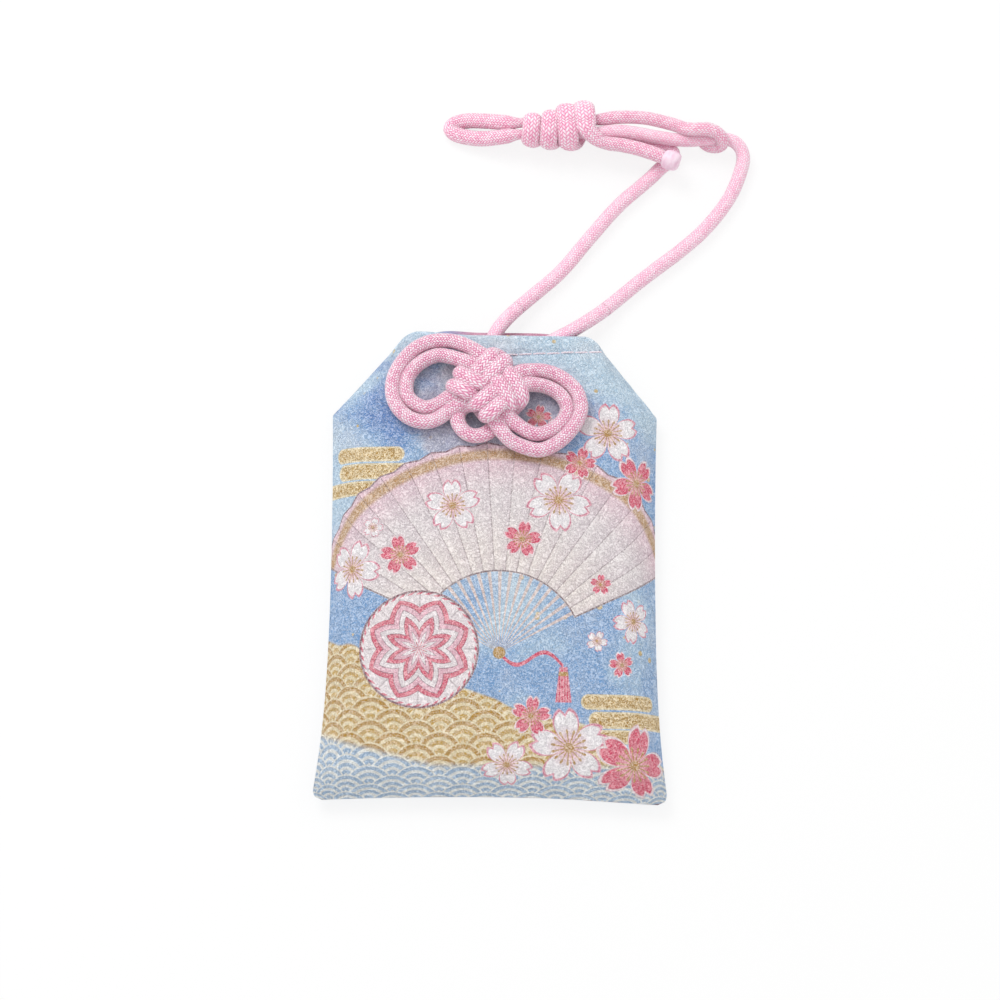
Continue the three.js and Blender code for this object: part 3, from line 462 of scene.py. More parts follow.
def half_width(pouch, height, across):
    """Half width of the pouch at a height, on the side that across points to."""
    shoulder = pouch.front_height - pouch.shoulder_drop
    half = pouch.shoulder_width / 2
    mouth = np.where(across < 0, pouch.left_mouth, pouch.right_mouth)
    above = half - (half - mouth) / pouch.shoulder_drop * (height - shoulder)
    above = above - 0.0008 * np.clip((height - pouch.front_height) / 0.0012 + 1, 0, 1) ** 2
    rise = (height - pouch.waist_height) / (shoulder - pouch.waist_height)
    middle = (pouch.waist_width + (pouch.shoulder_width - pouch.waist_width) * rise ** 2) / 2
    fall = np.clip((pouch.waist_height - height) / pouch.waist_height, 0, None)
    left_over = np.clip(pouch.corner_radius - height, 0, None)
    rounding = pouch.corner_radius - np.sqrt(
        np.clip(pouch.corner_radius ** 2 - left_over ** 2, 0, None))
    below = (pouch.waist_width + (pouch.base_width - pouch.waist_width) * fall ** 3) / 2 - rounding
    below = below + np.where(across < 0, 0.0003, 0.00005) * np.clip(fall, 0, 1) ** 1.5
    return np.where(height > shoulder, above, np.where(height > pouch.waist_height, middle, below))


def plan(pouch, across, height):
    """Place on the table of a point of the cloth, and its distance from the side."""
    half = half_width(pouch, height, across)
    x = across * half
    drawn = pouch.base_draw * np.clip(1 - height / 0.02, 0, None) * (1 - across ** 2)
    y = height - (pouch.front_height + pouch.rim_show) / 2 + drawn
    y = y - 0.0003 * np.exp(-height / 0.004)
    y = y - 0.0003 * soft_step(0.2, 1.0, across) * np.clip(1 - height / 0.012, 0, None)
    lifted = 0.0006 * soft_step(0.2, 0.95, -across)
    y = y + lifted * soft_step(pouch.front_height - 0.012, pouch.front_height, height)
    return x, y, (1 - np.abs(across)) * half


def roll_over(pouch, distance, width=1.0):
    return 1 - (1 - np.clip(distance / (pouch.edge_roll * width), 0, 1)) ** 2.2


def rolls(pouch, side, height):
    """How far the cloth has risen from its side seam and its base, sharper at the mouth."""
    near_mouth = soft_step(pouch.front_height - 0.009, pouch.front_height - 0.001, height)
    return roll_over(pouch, side, 1 - 0.86 * near_mouth), roll_over(pouch, height)


def fullness(pouch, side, height):
    """How far the cloth has risen from all its seams."""
    from_side, from_base = rolls(pouch, side, height)
    return from_side * from_base


def print_places(pouch, across, height, drop):
    """Places in the print, which goes on round the edges where the cloth drops to its seams."""
    x, y, side = plan(pouch, across, height)
    from_side, from_base = rolls(pouch, side, height)
    x = x + np.sign(across) * drop * (1 - from_side)
    y = y - drop * (1 - from_base)
    return np.stack([x, y], axis=-1) / PRINT_SPAN + 0.5


def front_top(pouch, across, height, edge=0.00015):
    """Height of the front cloth's outer face, without folds and puckers."""
    _, _, side = plan(pouch, across, height)
    full = fullness(pouch, side, height)
    bulge = (1 - across ** 2) * np.sin(math.pi * np.minimum(1, height / pouch.front_height))
    return pouch.seam_level + edge + pouch.edge_rise * full + pouch.crown * bulge


def hem_line(pouch, x):
    """Height of the front hem's stitches, which sink to the left of the mouth's right end."""
    return pouch.front_height - pouch.hem_depth - 0.055 * np.clip(0.0164 - x, 0, 0.018)


def side_puckers(side, height):
    """Wave of the puckers along the side seams, and how it fades away from them."""
    wander = 1.3 * np.sin(height * 310) + 0.9 * np.sin(height * 870 + 1.1)
    return np.sin(height * 2 * math.pi / 0.0039 + wander), np.exp(-side / 0.0021)


def front_relief(pouch, across, height):
    """Puckers, hem fold, stitch line and drawn folds at the cord hole."""
    x, y, side = plan(pouch, across, height)
    wave, fade = side_puckers(side, height)
    lift = pouch.pucker * wave * fade
    sway = 1.2 * np.sin(x * 420 + 0.6)
    lift = lift + pouch.pucker * np.sin(x * 2 * math.pi / 0.0043 + sway) * np.exp(-height / 0.0019)
    lift = lift + 0.00010 * np.sin(x * 230 + 0.7) * np.sin(y * 190 + 0.4)
    lift = lift + 0.00007 * np.sin(x * 410 + y * 260 + 1.9) * np.sin(y * 330 - x * 120)
    stitch = hem_line(pouch, x)
    lift = lift + 0.00012 * soft_step(stitch, stitch + 0.0009, height)
    lift = lift - 0.00016 * np.exp(-((height - stitch) / 0.00042) ** 2)
    turn = np.clip((height - (pouch.front_height - 0.0007)) / 0.0007, 0, 1)
    lift = lift - 0.0004 * (1 - np.sqrt(1 - turn ** 2))
    off_x = x - HOLE_CENTRE[0] * MM
    off_y = y - HOLE_CENTRE[1] * MM
    away = np.hypot(off_x, off_y * 1.4)
    angle = np.arctan2(off_y, off_x)
    folds = 0.00020 * np.cos(6 * angle + 0.8 * np.sin(2 * angle))
    folds = folds * np.exp(-((away - 0.0036) / 0.003) ** 2)
    return lift + folds - 0.00035 * np.exp(-(away / 0.0031) ** 2)


def cloth_grid(top, columns, step):
    """Share across and height of the points of a cloth, closer together at its sides."""
    height, across = np.meshgrid(
        np.linspace(0, top, int(top / step) + 1),
        np.sin(np.linspace(-1, 1, columns) * math.pi / 2), indexing="ij")
    return across, height


# Node wiring
class Number:
    """A number carried by a node socket, with plain arithmetic."""

    def __init__(self, wires, socket):
        self.wires = wires
        self.socket = socket

    def __add__(self, other):
        return self.wires.calc("ADD", self, other)

    def __radd__(self, other):
        return self.wires.calc("ADD", other, self)

    def __sub__(self, other):
        return self.wires.calc("SUBTRACT", self, other)

    def __rsub__(self, other):
        return self.wires.calc("SUBTRACT", other, self)

    def __mul__(self, other):
        return self.wires.calc("MULTIPLY", self, other)

    def __rmul__(self, other):
        return self.wires.calc("MULTIPLY", other, self)

    def __truediv__(self, other):
        return self.wires.calc("DIVIDE", self, other)

    def __pow__(self, other):
        return self.wires.calc("POWER", self, other)

    def __abs__(self):
        return self.wires.calc("ABSOLUTE", self)


class Wires:
    """Short names for the nodes that the patterns are made of."""

    def __init__(self, tree):
        self.tree = tree

    def node(self, kind, **settings):
        made = self.tree.nodes.new(kind)
        for key, value in settings.items():
            setattr(made, key, value)
        return made

    def feed(self, socket, source):
        if isinstance(source, Number):
            self.tree.links.new(source.socket, socket)
        elif isinstance(source, bpy.types.NodeSocket):
            self.tree.links.new(source, socket)
        elif socket.type == "RGBA":
            socket.default_value = (*source[:3], 1.0)
        else:
            socket.default_value = source

    def calc(self, operation, *terms):
        made = self.node("ShaderNodeMath", operation=operation)
        for socket, term in zip(made.inputs, terms):
            self.feed(socket, term)
        return Number(self, made.outputs[0])

    def step(self, low, high, value):
        """0 below low, 1 above high, with a soft change between. Low may be the larger."""
        made = self.node("ShaderNodeMapRange", interpolation_type="SMOOTHSTEP")
        for socket, source in zip(made.inputs, (value, low, high, 0.0, 1.0)):
            self.feed(socket, source)
        return Number(self, made.outputs[0])

    def greater(self, a, b):
        return self.calc("MAXIMUM", a, b)

    def lesser(self, a, b):
        return self.calc("MINIMUM", a, b)

    def length(self, x, y):
        return self.calc("SQRT", x * x + y * y)

    def place(self, x, y, z=0.0):
        made = self.node("ShaderNodeCombineXYZ")
        for socket, source in zip(made.inputs, (x, y, z)):
            self.feed(socket, source)
        return made.outputs[0]

    def noise(self, place, scale, detail=2.0, distortion=0.0):
        made = self.node("ShaderNodeTexNoise")
        self.feed(made.inputs["Vector"], place)
        made.inputs["Scale"].default_value = scale
        made.inputs["Detail"].default_value = detail
        made.inputs["Distortion"].default_value = distortion
        return Number(self, made.outputs[0])

    def mix(self, share, below, above):
        made = self.node("ShaderNodeMix", data_type="RGBA")
        self.feed(made.inputs[0], share)
        self.feed(made.inputs[6], below)
        self.feed(made.inputs[7], above)
        return made.outputs[2]

    def group(self, tree, *values):
        made = self.node("ShaderNodeGroup", node_tree=tree)
        for socket, value in zip(made.inputs, values):
            self.feed(socket, value)
        return [Number(self, socket) for socket in made.outputs]


def pattern_group(name, inputs, outputs, draw):
    """A node group of numbers, built once and then shared."""
    if name in bpy.data.node_groups:
        return bpy.data.node_groups[name]
    tree = bpy.data.node_groups.new(name, "ShaderNodeTree")
    for label in inputs:
        tree.interface.new_socket(label, in_out="INPUT", socket_type="NodeSocketFloat")
    for label in outputs:
        tree.interface.new_socket(label, in_out="OUTPUT", socket_type="NodeSocketFloat")
    wires = Wires(tree)
    entry = wires.node("NodeGroupInput")
    leave = wires.node("NodeGroupOutput")
    results = draw(wires, *[Number(wires, entry.outputs[label]) for label in inputs])
    for label, result in zip(outputs, results):
        wires.feed(leave.inputs[label], result)
    return tree


def braid_group():
    def draw(wires, turn, along, cells, cell_length):
        one = turn * cells + along / cell_length
        other = turn * cells - along / cell_length
        one_yarn = wires.calc("FLOOR", one)
        other_yarn = wires.calc("FLOOR", other)
        one_gone = wires.calc("FLOORED_MODULO", one_yarn + other, 4.0) - 1.0
        other_gone = wires.calc("FLOORED_MODULO", other_yarn + one, 4.0) - 3.0
        over = wires.calc("LESS_THAN", one_gone, 1.0)
        gone = other_gone + over * (one_gone - other_gone)
        across = other - other_yarn + over * (one - one_yarn - other + other_yarn)
        across = across * 2.0 - 1.0
        height = wires.greater(1.0 - across * across, 0.0) ** 0.6 * (1.0 - 0.75 * gone * gone)
        fuzz = wires.noise(wires.place(turn * cells, along / cell_length), 2.3, 3.0)
        yarn = other_yarn + over * (one_yarn - other_yarn)
        lift = wires.calc("FLOOR", (one_yarn + other_yarn) * 0.25)
        each = wires.node("ShaderNodeTexWhiteNoise", noise_dimensions="3D")
        wires.feed(each.inputs["Vector"], wires.place(yarn, lift, over))
        spark = Number(wires, each.outputs["Value"])
        # The second output is the yarns' height with random fuzz and a random sparkle per yarn; the
        # cord's colours turn it into painted shade and a painted highlight.
        return height, height * 0.68 + fuzz * 0.5 + spark * 0.3 - 0.25
    return pattern_group("Cord braid", ["Turn", "Along", "Cells", "Cell length"],
                         ["Height", "Tone"], draw)


def crepe_group():
    def draw(wires, x, y, size):
        place = wires.place(x / size, y / size)
        curl = wires.noise(place, 1.0, 2.5, 1.8)
        ridge = 1.0 - wires.step(0.0, 0.16, abs(curl - 0.5))
        grain = wires.noise(place, 2.3, 2.0)
        cloud = wires.noise(place, 0.045, 3.0)
        height = ridge * 0.7 + grain * 0.5
        return height, ridge * 0.5 + grain * 0.6 - 0.15, cloud
    return pattern_group("Crepe cloth", ["X", "Y", "Size"], ["Height", "Tone", "Cloud"], draw)


def blossom_group():
    def draw(wires, x, y, size, turn):
        radius = wires.length(x, y) / size
        fifth = wires.calc("ARCTAN2", y, x) * (5 / (2 * math.pi)) + turn
        off = abs(wires.calc("FRACT", fifth) - 0.5)
        round_share = wires.greater(1.0 - off * off * 4.0, 0.0)
        notch = wires.greater(1.0 - off / 0.1, 0.0)
        edge = 0.26 + 0.74 * round_share ** 0.6 - notch * 0.17
        petal = wires.step(-0.03, 0.03, edge - radius)
        rim = petal * wires.step(0.11, 0.05, edge - radius)
        blush = wires.step(0.62, 0.05, radius)
        thirds = abs(wires.calc("FRACT", fifth * 3.0) - 0.5) * radius
        thread = wires.step(0.055, 0.025, thirds) * wires.step(0.38, 0.32, radius)
        bead = wires.step(0.075, 0.045, wires.length(thirds * 0.8, radius - 0.39))
        heart = wires.step(0.15, 0.1, radius)
        return petal, rim, blush, wires.greater(heart, wires.greater(thread, bead))
    return pattern_group("Five petal blossom", ["X", "Y", "Size", "Turn"],
                         ["Petal", "Rim", "Blush", "Stamen"], draw)


def mist_group():
    def draw(wires, x, y, reach, thick):
        past = wires.greater(abs(x) - reach, 0.0)
        depth = thick - wires.length(past, y)
        band = wires.step(-0.06, 0.06, depth)
        return band, band * wires.step(0.34, 0.22, depth)
    return pattern_group("Mist band", ["X", "Y", "Reach", "Thick"], ["Band", "Rim"], draw)


def wave_group():
    def draw(wires, x, y, size):
        row_height = 0.5
        u = x / size
        v = y / size
        ring = None
        for lower in (0, 1, 2):
            row = wires.calc("FLOOR", v / row_height) - float(lower)
            shift = wires.calc("FLOORED_MODULO", row, 2.0) * 1.0
            column = wires.calc("FLOOR", (u - shift) / 2.0 + 0.5) * 2.0 + shift
            radius = wires.length(u - column, v - row * row_height)
            if ring is None:
                ring = radius
            else:
                inside = wires.step(1.001, 0.999, radius)
                ring = ring + inside * (radius - ring)
        rings = wires.calc("FRACT", ring * 3.0)
        line = wires.step(0.30, 0.16, abs(rings - 0.5) * -1.0 + 0.5)
        return line, ring
    return pattern_group("Wave scales", ["X", "Y", "Size"], ["Line", "Ring"], draw)


def fleck_group():
    def draw(wires, x, y, spacing):
        cells = wires.node("ShaderNodeTexVoronoi")
        wires.feed(cells.inputs["Vector"], wires.place(x / spacing, y / spacing))
        cells.inputs["Scale"].default_value = 1.0
        parts = wires.node("ShaderNodeSeparateColor")
        wires.tree.links.new(cells.outputs["Color"], parts.inputs[0])
        size = Number(wires, parts.outputs[0]) * 0.3 - 0.1
        distance = Number(wires, cells.outputs["Distance"])
        return [wires.step(0.02, -0.02, distance - size)]
    return pattern_group("Gold flecks", ["X", "Y", "Spacing"], ["Fleck"], draw)


def fan_group():
    def draw(wires, x, y, reach, root, spread, folds):
        radius = wires.length(x, y)
        angle = wires.calc("ARCTAN2", x, y)
        fold = wires.calc("FRACT", (angle / spread + 1.0) * 0.5 * folds)
        zigzag = abs(fold - 0.5)
        outer = reach * (0.985 + zigzag * 0.03)
        within = wires.step(0.004, -0.004, abs(angle) - spread)
        leaf = within * wires.step(-0.06, 0.06, outer - radius)
        leaf = leaf * wires.step(-0.06, 0.06, radius - root)
        border = wires.lesser(outer - radius, radius - root)
        border = wires.lesser(border, (spread - abs(angle)) * radius)
        crease = wires.step(0.12, 0.05, (0.5 - zigzag) * spread * 2.0 / folds * radius)
        line = leaf * wires.greater(wires.step(0.30, 0.16, border), crease * 0.55)
        stick = within * wires.step(0.04, -0.04, radius - root)
        stick = stick * wires.step(0.20, 0.14, zigzag) * wires.step(0.5, 0.7, radius)
        share = (radius - root) / (reach - root)
        return leaf, fold, line, share, stick
    return pattern_group("Folding fan", ["X", "Y", "Reach", "Root", "Spread", "Folds"],
                         ["Leaf", "Fold", "Line", "Share", "Stick"], draw)


def ball_group():
    def draw(wires, x, y, size):
        u = x / size
        v = y / size
        radius = wires.length(u, v)
        ball = wires.step(1.01, 0.99, radius)
        rim = ball * wires.step(0.95, 0.98, radius)
        turned = wires.calc("ARCSINE", wires.lesser(radius, 1.0)) * (2 / math.pi)
        angle = wires.calc("ARCTAN2", v, u) / (2 * math.pi)
        zigzag = abs(wires.calc("FRACT", angle * 8.0) - 0.5) * 2.0
        star = (turned + zigzag * 0.2) * 10.0
        gap = wires.step(0.36, 0.46, abs(wires.calc("FRACT", star) - 0.5))
        kind = wires.calc("FLOORED_MODULO", wires.calc("FLOOR", star), 3.0)
        within = wires.step(7.02, 6.98, star)
        belt = wires.step(0.755, 0.765, turned)
        strand = abs(wires.calc("FRACT", angle * 40.0 + turned * 5.0) - 0.5)
        coral = within * wires.step(0.6, 0.4, kind) + belt * wires.step(0.2, 0.3, strand)
        gold = within * wires.step(1.4, 1.6, kind)
        spoke = wires.step(0.44, 0.47, abs(wires.calc("FRACT", angle * 16.0) - 0.5))
        spoke = (1.0 - within) * (1.0 - belt) * spoke
        return ball, rim, coral, gold, wires.greater(gap * within, spoke * 0.6)
    return pattern_group("Thread ball", ["X", "Y", "Size"],
                         ["Ball", "Rim", "Coral", "Gold", "Gap"], draw)


def tassel_group():
    def draw(wires, x, y, reach):
        sag = y + x * 0.18 + wires.calc("SINE", x * 0.7) * 1.3
        cord = wires.step(0.36, 0.24, abs(sag)) * wires.step(0.3, 0.6, x)
        cord = cord * wires.step(0.1, -0.1, x - reach)
        down = y * -1.0 - reach * 0.18 - wires.calc("SINE", reach * 0.7) * 1.3
        side = abs(x - reach)
        skirt = wires.step(0.08, -0.08, side - 0.55 - down * 0.12) * wires.step(0.0, 0.2, down)
        skirt = skirt * wires.step(0.1, -0.1, down - 5.2)
        strand = abs(wires.calc("FRACT", (x - reach) * 2.6) - 0.5)
        collar = skirt * wires.step(0.12, -0.12, abs(down - 1.1) - 0.3)
        return wires.greater(cord, skirt), skirt * wires.step(0.2, 0.4, strand), collar
    return pattern_group("Cord and tassel", ["X", "Y", "Reach"], ["Shape", "Line", "Collar"], draw)


# Materials
# For each look of the cord, the depth of its creases in metres
CORD_LOOKS = {"soft": 0.00009, "wound": 0.00012, "tight": 0.00014}


def new_material(name):
    material = bpy.data.materials.new(name)
    material.use_nodes = True
    wires = Wires(material.node_tree)
    shader = material.node_tree.nodes["Principled BSDF"]
    return material, wires, shader


def bump(wires, shader, height, distance, strength=1.0):
    made = wires.node("ShaderNodeBump")
    made.inputs["Distance"].default_value = distance
    made.inputs["Strength"].default_value = strength
    wires.feed(made.inputs["Height"], height)
    wires.tree.links.new(made.outputs["Normal"], shader.inputs["Normal"])


def map_place(wires):
    """The two numbers of the UV map."""
    source = wires.node("ShaderNodeUVMap", uv_map="UVMap")
    parts = wires.node("ShaderNodeSeparateXYZ")
    wires.tree.links.new(source.outputs[0], parts.inputs[0])
    return Number(wires, parts.outputs[0]), Number(wires, parts.outputs[1])


def print_place(wires):
    """Millimetres from the middle of the print."""
    return [(share - 0.5) * (PRINT_SPAN / MM) for share in map_place(wires)]


def cord_material(look="soft"):
    """Braided cord, as lit and shaded copies: soft and brightest where it is free, wound in the
    small knots, tight and darkest in the front knot.
    """
    name = f"Braided cord, {look}"
    if name in bpy.data.materials:
        return bpy.data.materials[name]
    cord = bpy.context.scene.amulet_cord
    crease = tuple(getattr(cord, look + "_crease"))
    yarn = tuple(getattr(cord, look + "_yarn"))
    highlight = tuple(getattr(cord, look + "_shine"))
    material, wires, shader = new_material(name)
    turn, along = map_place(wires)
    height, shade_tone = wires.group(
        braid_group(), turn, along, float(cord.cells_round), cord.cell_length / MM)
    # Painted shade in the creases between the yarns, then a painted highlight on top of the yarns.
    tint = wires.mix(wires.step(0.05, 0.42, shade_tone), crease, yarn)
    tint = wires.mix(wires.step(0.45, 0.82, shade_tone), tint, highlight)
    wires.feed(shader.inputs["Base Color"], tint)
    wires.feed(shader.inputs["Roughness"], 0.62 - height * 0.18)
    shader.inputs["Sheen Weight"].default_value = 0.7
    shader.inputs["Specular IOR Level"].default_value = 0.35
    bump(wires, shader, height, CORD_LOOKS[look])
    return material


def melted_material():
    cord = bpy.context.scene.amulet_cord
    material, wires, shader = new_material("Melted cord end")
    turn, along = map_place(wires)
    patch = wires.noise(wires.place(turn * 5.0, along), 1.1, 3.0)
    tint = wires.mix(wires.step(0.35, 0.75, patch), tuple(cord.melted), linear(232, 190, 212))
    wires.feed(shader.inputs["Base Color"], tint)
    wires.feed(shader.inputs["Roughness"], 0.28 + patch * 0.15)
    bump(wires, shader, patch, 0.00012)
    return material


def thread_material():
    if "Sewing thread" in bpy.data.materials:
        return bpy.data.materials["Sewing thread"]
    material, wires, shader = new_material("Sewing thread")
    turn, along = map_place(wires)
    twist = wires.calc("FRACT", turn * 2.0 + along * 2.2)
    ply = wires.step(0.0, 0.5, 0.5 - abs(twist - 0.5))
    # Painted shade in the grooves between the plies, painted highlight on their crowns.
    tint = wires.mix(ply, linear(222, 204, 216), linear(252, 244, 248))
    wires.feed(shader.inputs["Base Color"], tint)
    shader.inputs["Roughness"].default_value = 0.7
    bump(wires, shader, ply, 0.00005)
    return material


def sky_ground(wires, x, y, cloud, palette):
    """Mottled blue ground, palest along the mouth and deepest at the left shoulder."""
    wash = wires.noise(wires.place(x, y), 0.075, 4.0, 0.6)
    near_mouth = wires.step(20.0, 36.0, y) * 0.3
    right_shoulder = wires.step(0.0, 18.0, x) * wires.step(12.0, 26.0, y) * 0.12
    pale = wires.step(0.42, 0.68, wash + near_mouth + right_shoulder)
    deep = wires.step(0.52, 0.36, wash) * wires.step(-2.0, -22.0, x) * wires.step(-6.0, 16.0, y)
    tint = wires.mix(pale, tuple(palette.sky), tuple(palette.sky_pale))
    tint = wires.mix(deep * 0.9, tint, tuple(palette.sky_deep))
    return wires.mix(wires.step(0.5, 0.75, cloud) * 0.35, tint, linear(236, 240, 244))


def blossom_colours(palette):
    """Petal, outline and heart of the white and of the coral blossoms."""
    white = tuple(palette.petal)
    rose = tuple(palette.petal_rim)
    return (white, rose, rose), (tuple(palette.coral), white, linear(250, 214, 220))


def add_blossom(wires, below, x, y, size, turn, colours, palette):
    petal, rim, heart = colours
    shape, outline, blush, stamen = wires.group(blossom_group(), x, y, size, turn)
    tint = wires.mix(blush * 0.55, petal, heart)
    tint = wires.mix(shape, below, tint)
    tint = wires.mix(outline * 0.85, tint, rim)
    return wires.mix(stamen * shape * 0.9, tint, tuple(palette.gold))


def add_mist(wires, below, x, y, bands, grain, palette):
    """A cloud of rounded gold bands with a pale outline."""
    body = None
    outline = None
    for spot_x, spot_y, reach, thick in bands:
        band, rim = wires.group(mist_group(), x - spot_x, y - spot_y, reach, thick)
        if body is None:
            body, outline = band, rim
        else:
            inner = wires.lesser(1.0 - band + rim, 1.0 - body + outline)
            body = wires.greater(body, band)
            outline = body * inner
    foil = wires.mix(wires.step(0.25, 0.6, grain), tuple(palette.gold), linear(236, 204, 132))
    tint = wires.mix(body * 0.94, below, foil)
    return wires.mix(outline * 0.75, tint, tuple(palette.gold_pale))


def front_print(wires, x, y, cloud, grain, palette):
    """Fan and thread ball among blossoms, mist bands and waves, on a blue ground."""
    red = tuple(palette.coral)
    white, coral = blossom_colours(palette)
    tint = sky_ground(wires, x, y, cloud, palette)
    # Painted shade of the front knot on the cloth under it, added to the print's random grey
    # lavender patches.
    knot_shadow = wires.step(16.0, 7.0, wires.length(x * 0.9, y - 21.0))
    knot_shadow = knot_shadow * wires.step(31.0, 28.0, y) * 0.42
    grey_patches_and_knot_shadow = wires.noise(wires.place(x, y), 0.21, 3.0) + knot_shadow
    tint = wires.mix(wires.step(0.62, 0.86, grey_patches_and_knot_shadow) * 0.75, tint, linear(184, 178, 196))
    haze = wires.step(9.0, 2.0, wires.length(x + 1.0, (y - 34.0) * 1.5))
    haze = wires.step(0.3, 0.7, cloud) * haze
    tint = wires.mix(haze * 0.6, tint, linear(236, 234, 238))
    fleck = wires.group(fleck_group(), x, y, 2.2)[0]
    tint = wires.mix(fleck * wires.step(0.38, 0.52, cloud) * 0.85, tint, linear(222, 186, 100))
    tint = add_mist(wires, tint, x, y, [
        (-19.0, 14.6, 4.6, 1.15), (-16.4, 11.9, 6.6, 1.25), (-20.6, 9.3, 5.6, 1.1),
        (-15.2, 6.9, 3.0, 0.9)], grain, palette)
    tint = add_mist(wires, tint, x, y, [
        (18.6, -22.4, 4.8, 1.1), (20.6, -25.0, 5.6, 1.2), (17.0, -27.4, 3.6, 1.0)], grain, palette)
    leaf, fold, line, share, stick = wires.group(
        fan_group(), x - 1.0, y + 15.5, 32.0, 12.0, math.radians(64), 17.0)
    paper = wires.mix(wires.step(0.1, 0.55, share), linear(248, 236, 230), tuple(palette.leaf))
    paper = wires.mix(wires.step(0.55, 0.95, share), paper, tuple(palette.leaf_edge))
    paper = wires.mix(wires.step(0.0, 1.0, fold) * 0.32, paper, linear(202, 180, 192))
    tint = wires.mix(leaf, tint, paper)
    edging = leaf * wires.step(0.06, 0.02, abs(share - 0.9))
    tint = wires.mix(edging * 0.8, tint, tuple(palette.gold))
    tint = wires.mix(line * 0.8, tint, tuple(palette.ink))
    tint = wires.mix(stick * 0.9, tint, linear(232, 206, 196))
    braid, strand, collar = wires.group(tassel_group(), x - 1.0, y + 15.5, 9.2)
    tint = wires.mix(braid, tint, red)
    tint = wires.mix(strand * 0.5, tint, linear(250, 206, 214))
    tint = wires.mix(collar, tint, tuple(palette.gold))
    rivet = wires.step(1.0, 0.8, wires.length(x - 1.0, y + 15.5))
    tint = wires.mix(rivet, tint, tuple(palette.gold))
    for spot_x, spot_y, size, turn, colours in [
            (-6.0, 6.5, 4.2, 0.2, white),
            (9.5, 7.5, 5.0, 0.7, white),
            (4.2, 1.4, 3.0, 0.4, coral),
            (-13.5, -1.0, 3.2, 0.1, coral)]:
        tint = add_blossom(wires, tint, x - spot_x, y - spot_y, size, turn, colours, palette)
    swell = wires.noise(wires.place(x, 0.0), 0.12, 1.0) * 5.0
    mound = wires.step(0.25, -0.25, y + 24.5 + x * 0.34 - swell)
    crest, ring = wires.group(wave_group(), x + 0.7, y + 40.0, 3.3)
    waves = wires.mix(wires.step(0.3, 0.9, ring), linear(214, 176, 98), tuple(palette.gold))
    waves = wires.mix(crest * 0.85, waves, tuple(palette.gold_pale))
    shoal = wires.mix(crest * 0.9, linear(158, 186, 214), linear(238, 238, 232))
    waves = wires.mix(wires.step(-31.0, -32.5, y + wires.lesser(x + 8.0, 0.0) * 0.25), waves, shoal)
    tint = wires.mix(mound, tint, waves)
    ball, rim, stars, gilt, gap = wires.group(ball_group(), x + 10.5, y + 15.0, 8.6)
    sphere = wires.mix(stars * 0.9, linear(248, 236, 238), red)
    sphere = wires.mix(gilt * 0.9, sphere, linear(244, 186, 202))
    sphere = wires.mix(gap * 0.55, sphere, tuple(palette.ink))
    tint = wires.mix(ball, tint, sphere)
    tint = wires.mix(rim * 0.8, tint, tuple(palette.ink))
    # Painted shade: dark spots in the stitch holes along the hem, one each stitch length.
    hole = wires.calc("FRACT", (x - 13.5) / 2.1) * 2.1 - 1.05
    row = wires.greater(wires.lesser(16.4 - x, 18.0), 0.0) * 0.055
    hole = wires.length(abs(hole) - 1.05, (y + row - 31.6) * 0.8)
    tint = wires.mix(wires.step(0.26, 0.1, hole) * 0.7, tint, linear(92, 100, 128))
    for spot_x, spot_y, size, turn, colours in [
            (16.8, 18.2, 4.9, 0.3, white),
            (21.4, 10.6, 4.4, 0.8, coral),
            (12.6, 13.4, 2.6, 0.5, coral),
            (-20.8, -3.0, 4.6, 0.6, white),
            (11.0, -29.0, 5.8, 0.15, white),
            (20.4, -31.5, 6.2, 0.45, coral),
            (2.2, -31.6, 3.8, 0.7, white),
            (5.6, -24.6, 3.0, 0.35, coral),
            (20.6, -10.5, 3.4, 0.9, white),
            (15.6, -5.2, 1.7, 0.3, coral),
            (15.0, -13.6, 1.6, 0.6, white),
            (18.6, -17.0, 2.0, 0.1, coral),
            (6.5, 20.6, 2.1, 0.4, coral),
            (9.0, 18.9, 1.6, 0.8, white),
            (-17.6, 3.2, 1.6, 0.5, white)]:
        tint = add_blossom(wires, tint, x - spot_x, y - spot_y, size, turn, colours, palette)
    return tint


def back_print(wires, x, y, cloud, grain, palette):
    """Blue ground with a few blossoms and two mist bands."""
    white, _ = blossom_colours(palette)
    tint = sky_ground(wires, x, y, cloud, palette)
    tint = add_mist(wires, tint, x, y, [
        (12.0, 12.0, 7.0, 1.2), (16.0, 9.4, 6.0, 1.1)], grain, palette)
    tint = add_mist(wires, tint, x, y, [
        (-13.0, -20.0, 7.0, 1.2), (-17.0, -22.6, 6.0, 1.1)], grain, palette)
    for spot_x, spot_y, size, turn in [(-14.0, 14.0, 5.4, 0.2), (13.0, -6.0, 4.4, 0.6),
                                       (-6.0, -6.5, 3.4, 0.9), (12.5, -27.0, 5.8, 0.4)]:
        tint = add_blossom(wires, tint, x - spot_x, y - spot_y, size, turn, white, palette)
    return tint


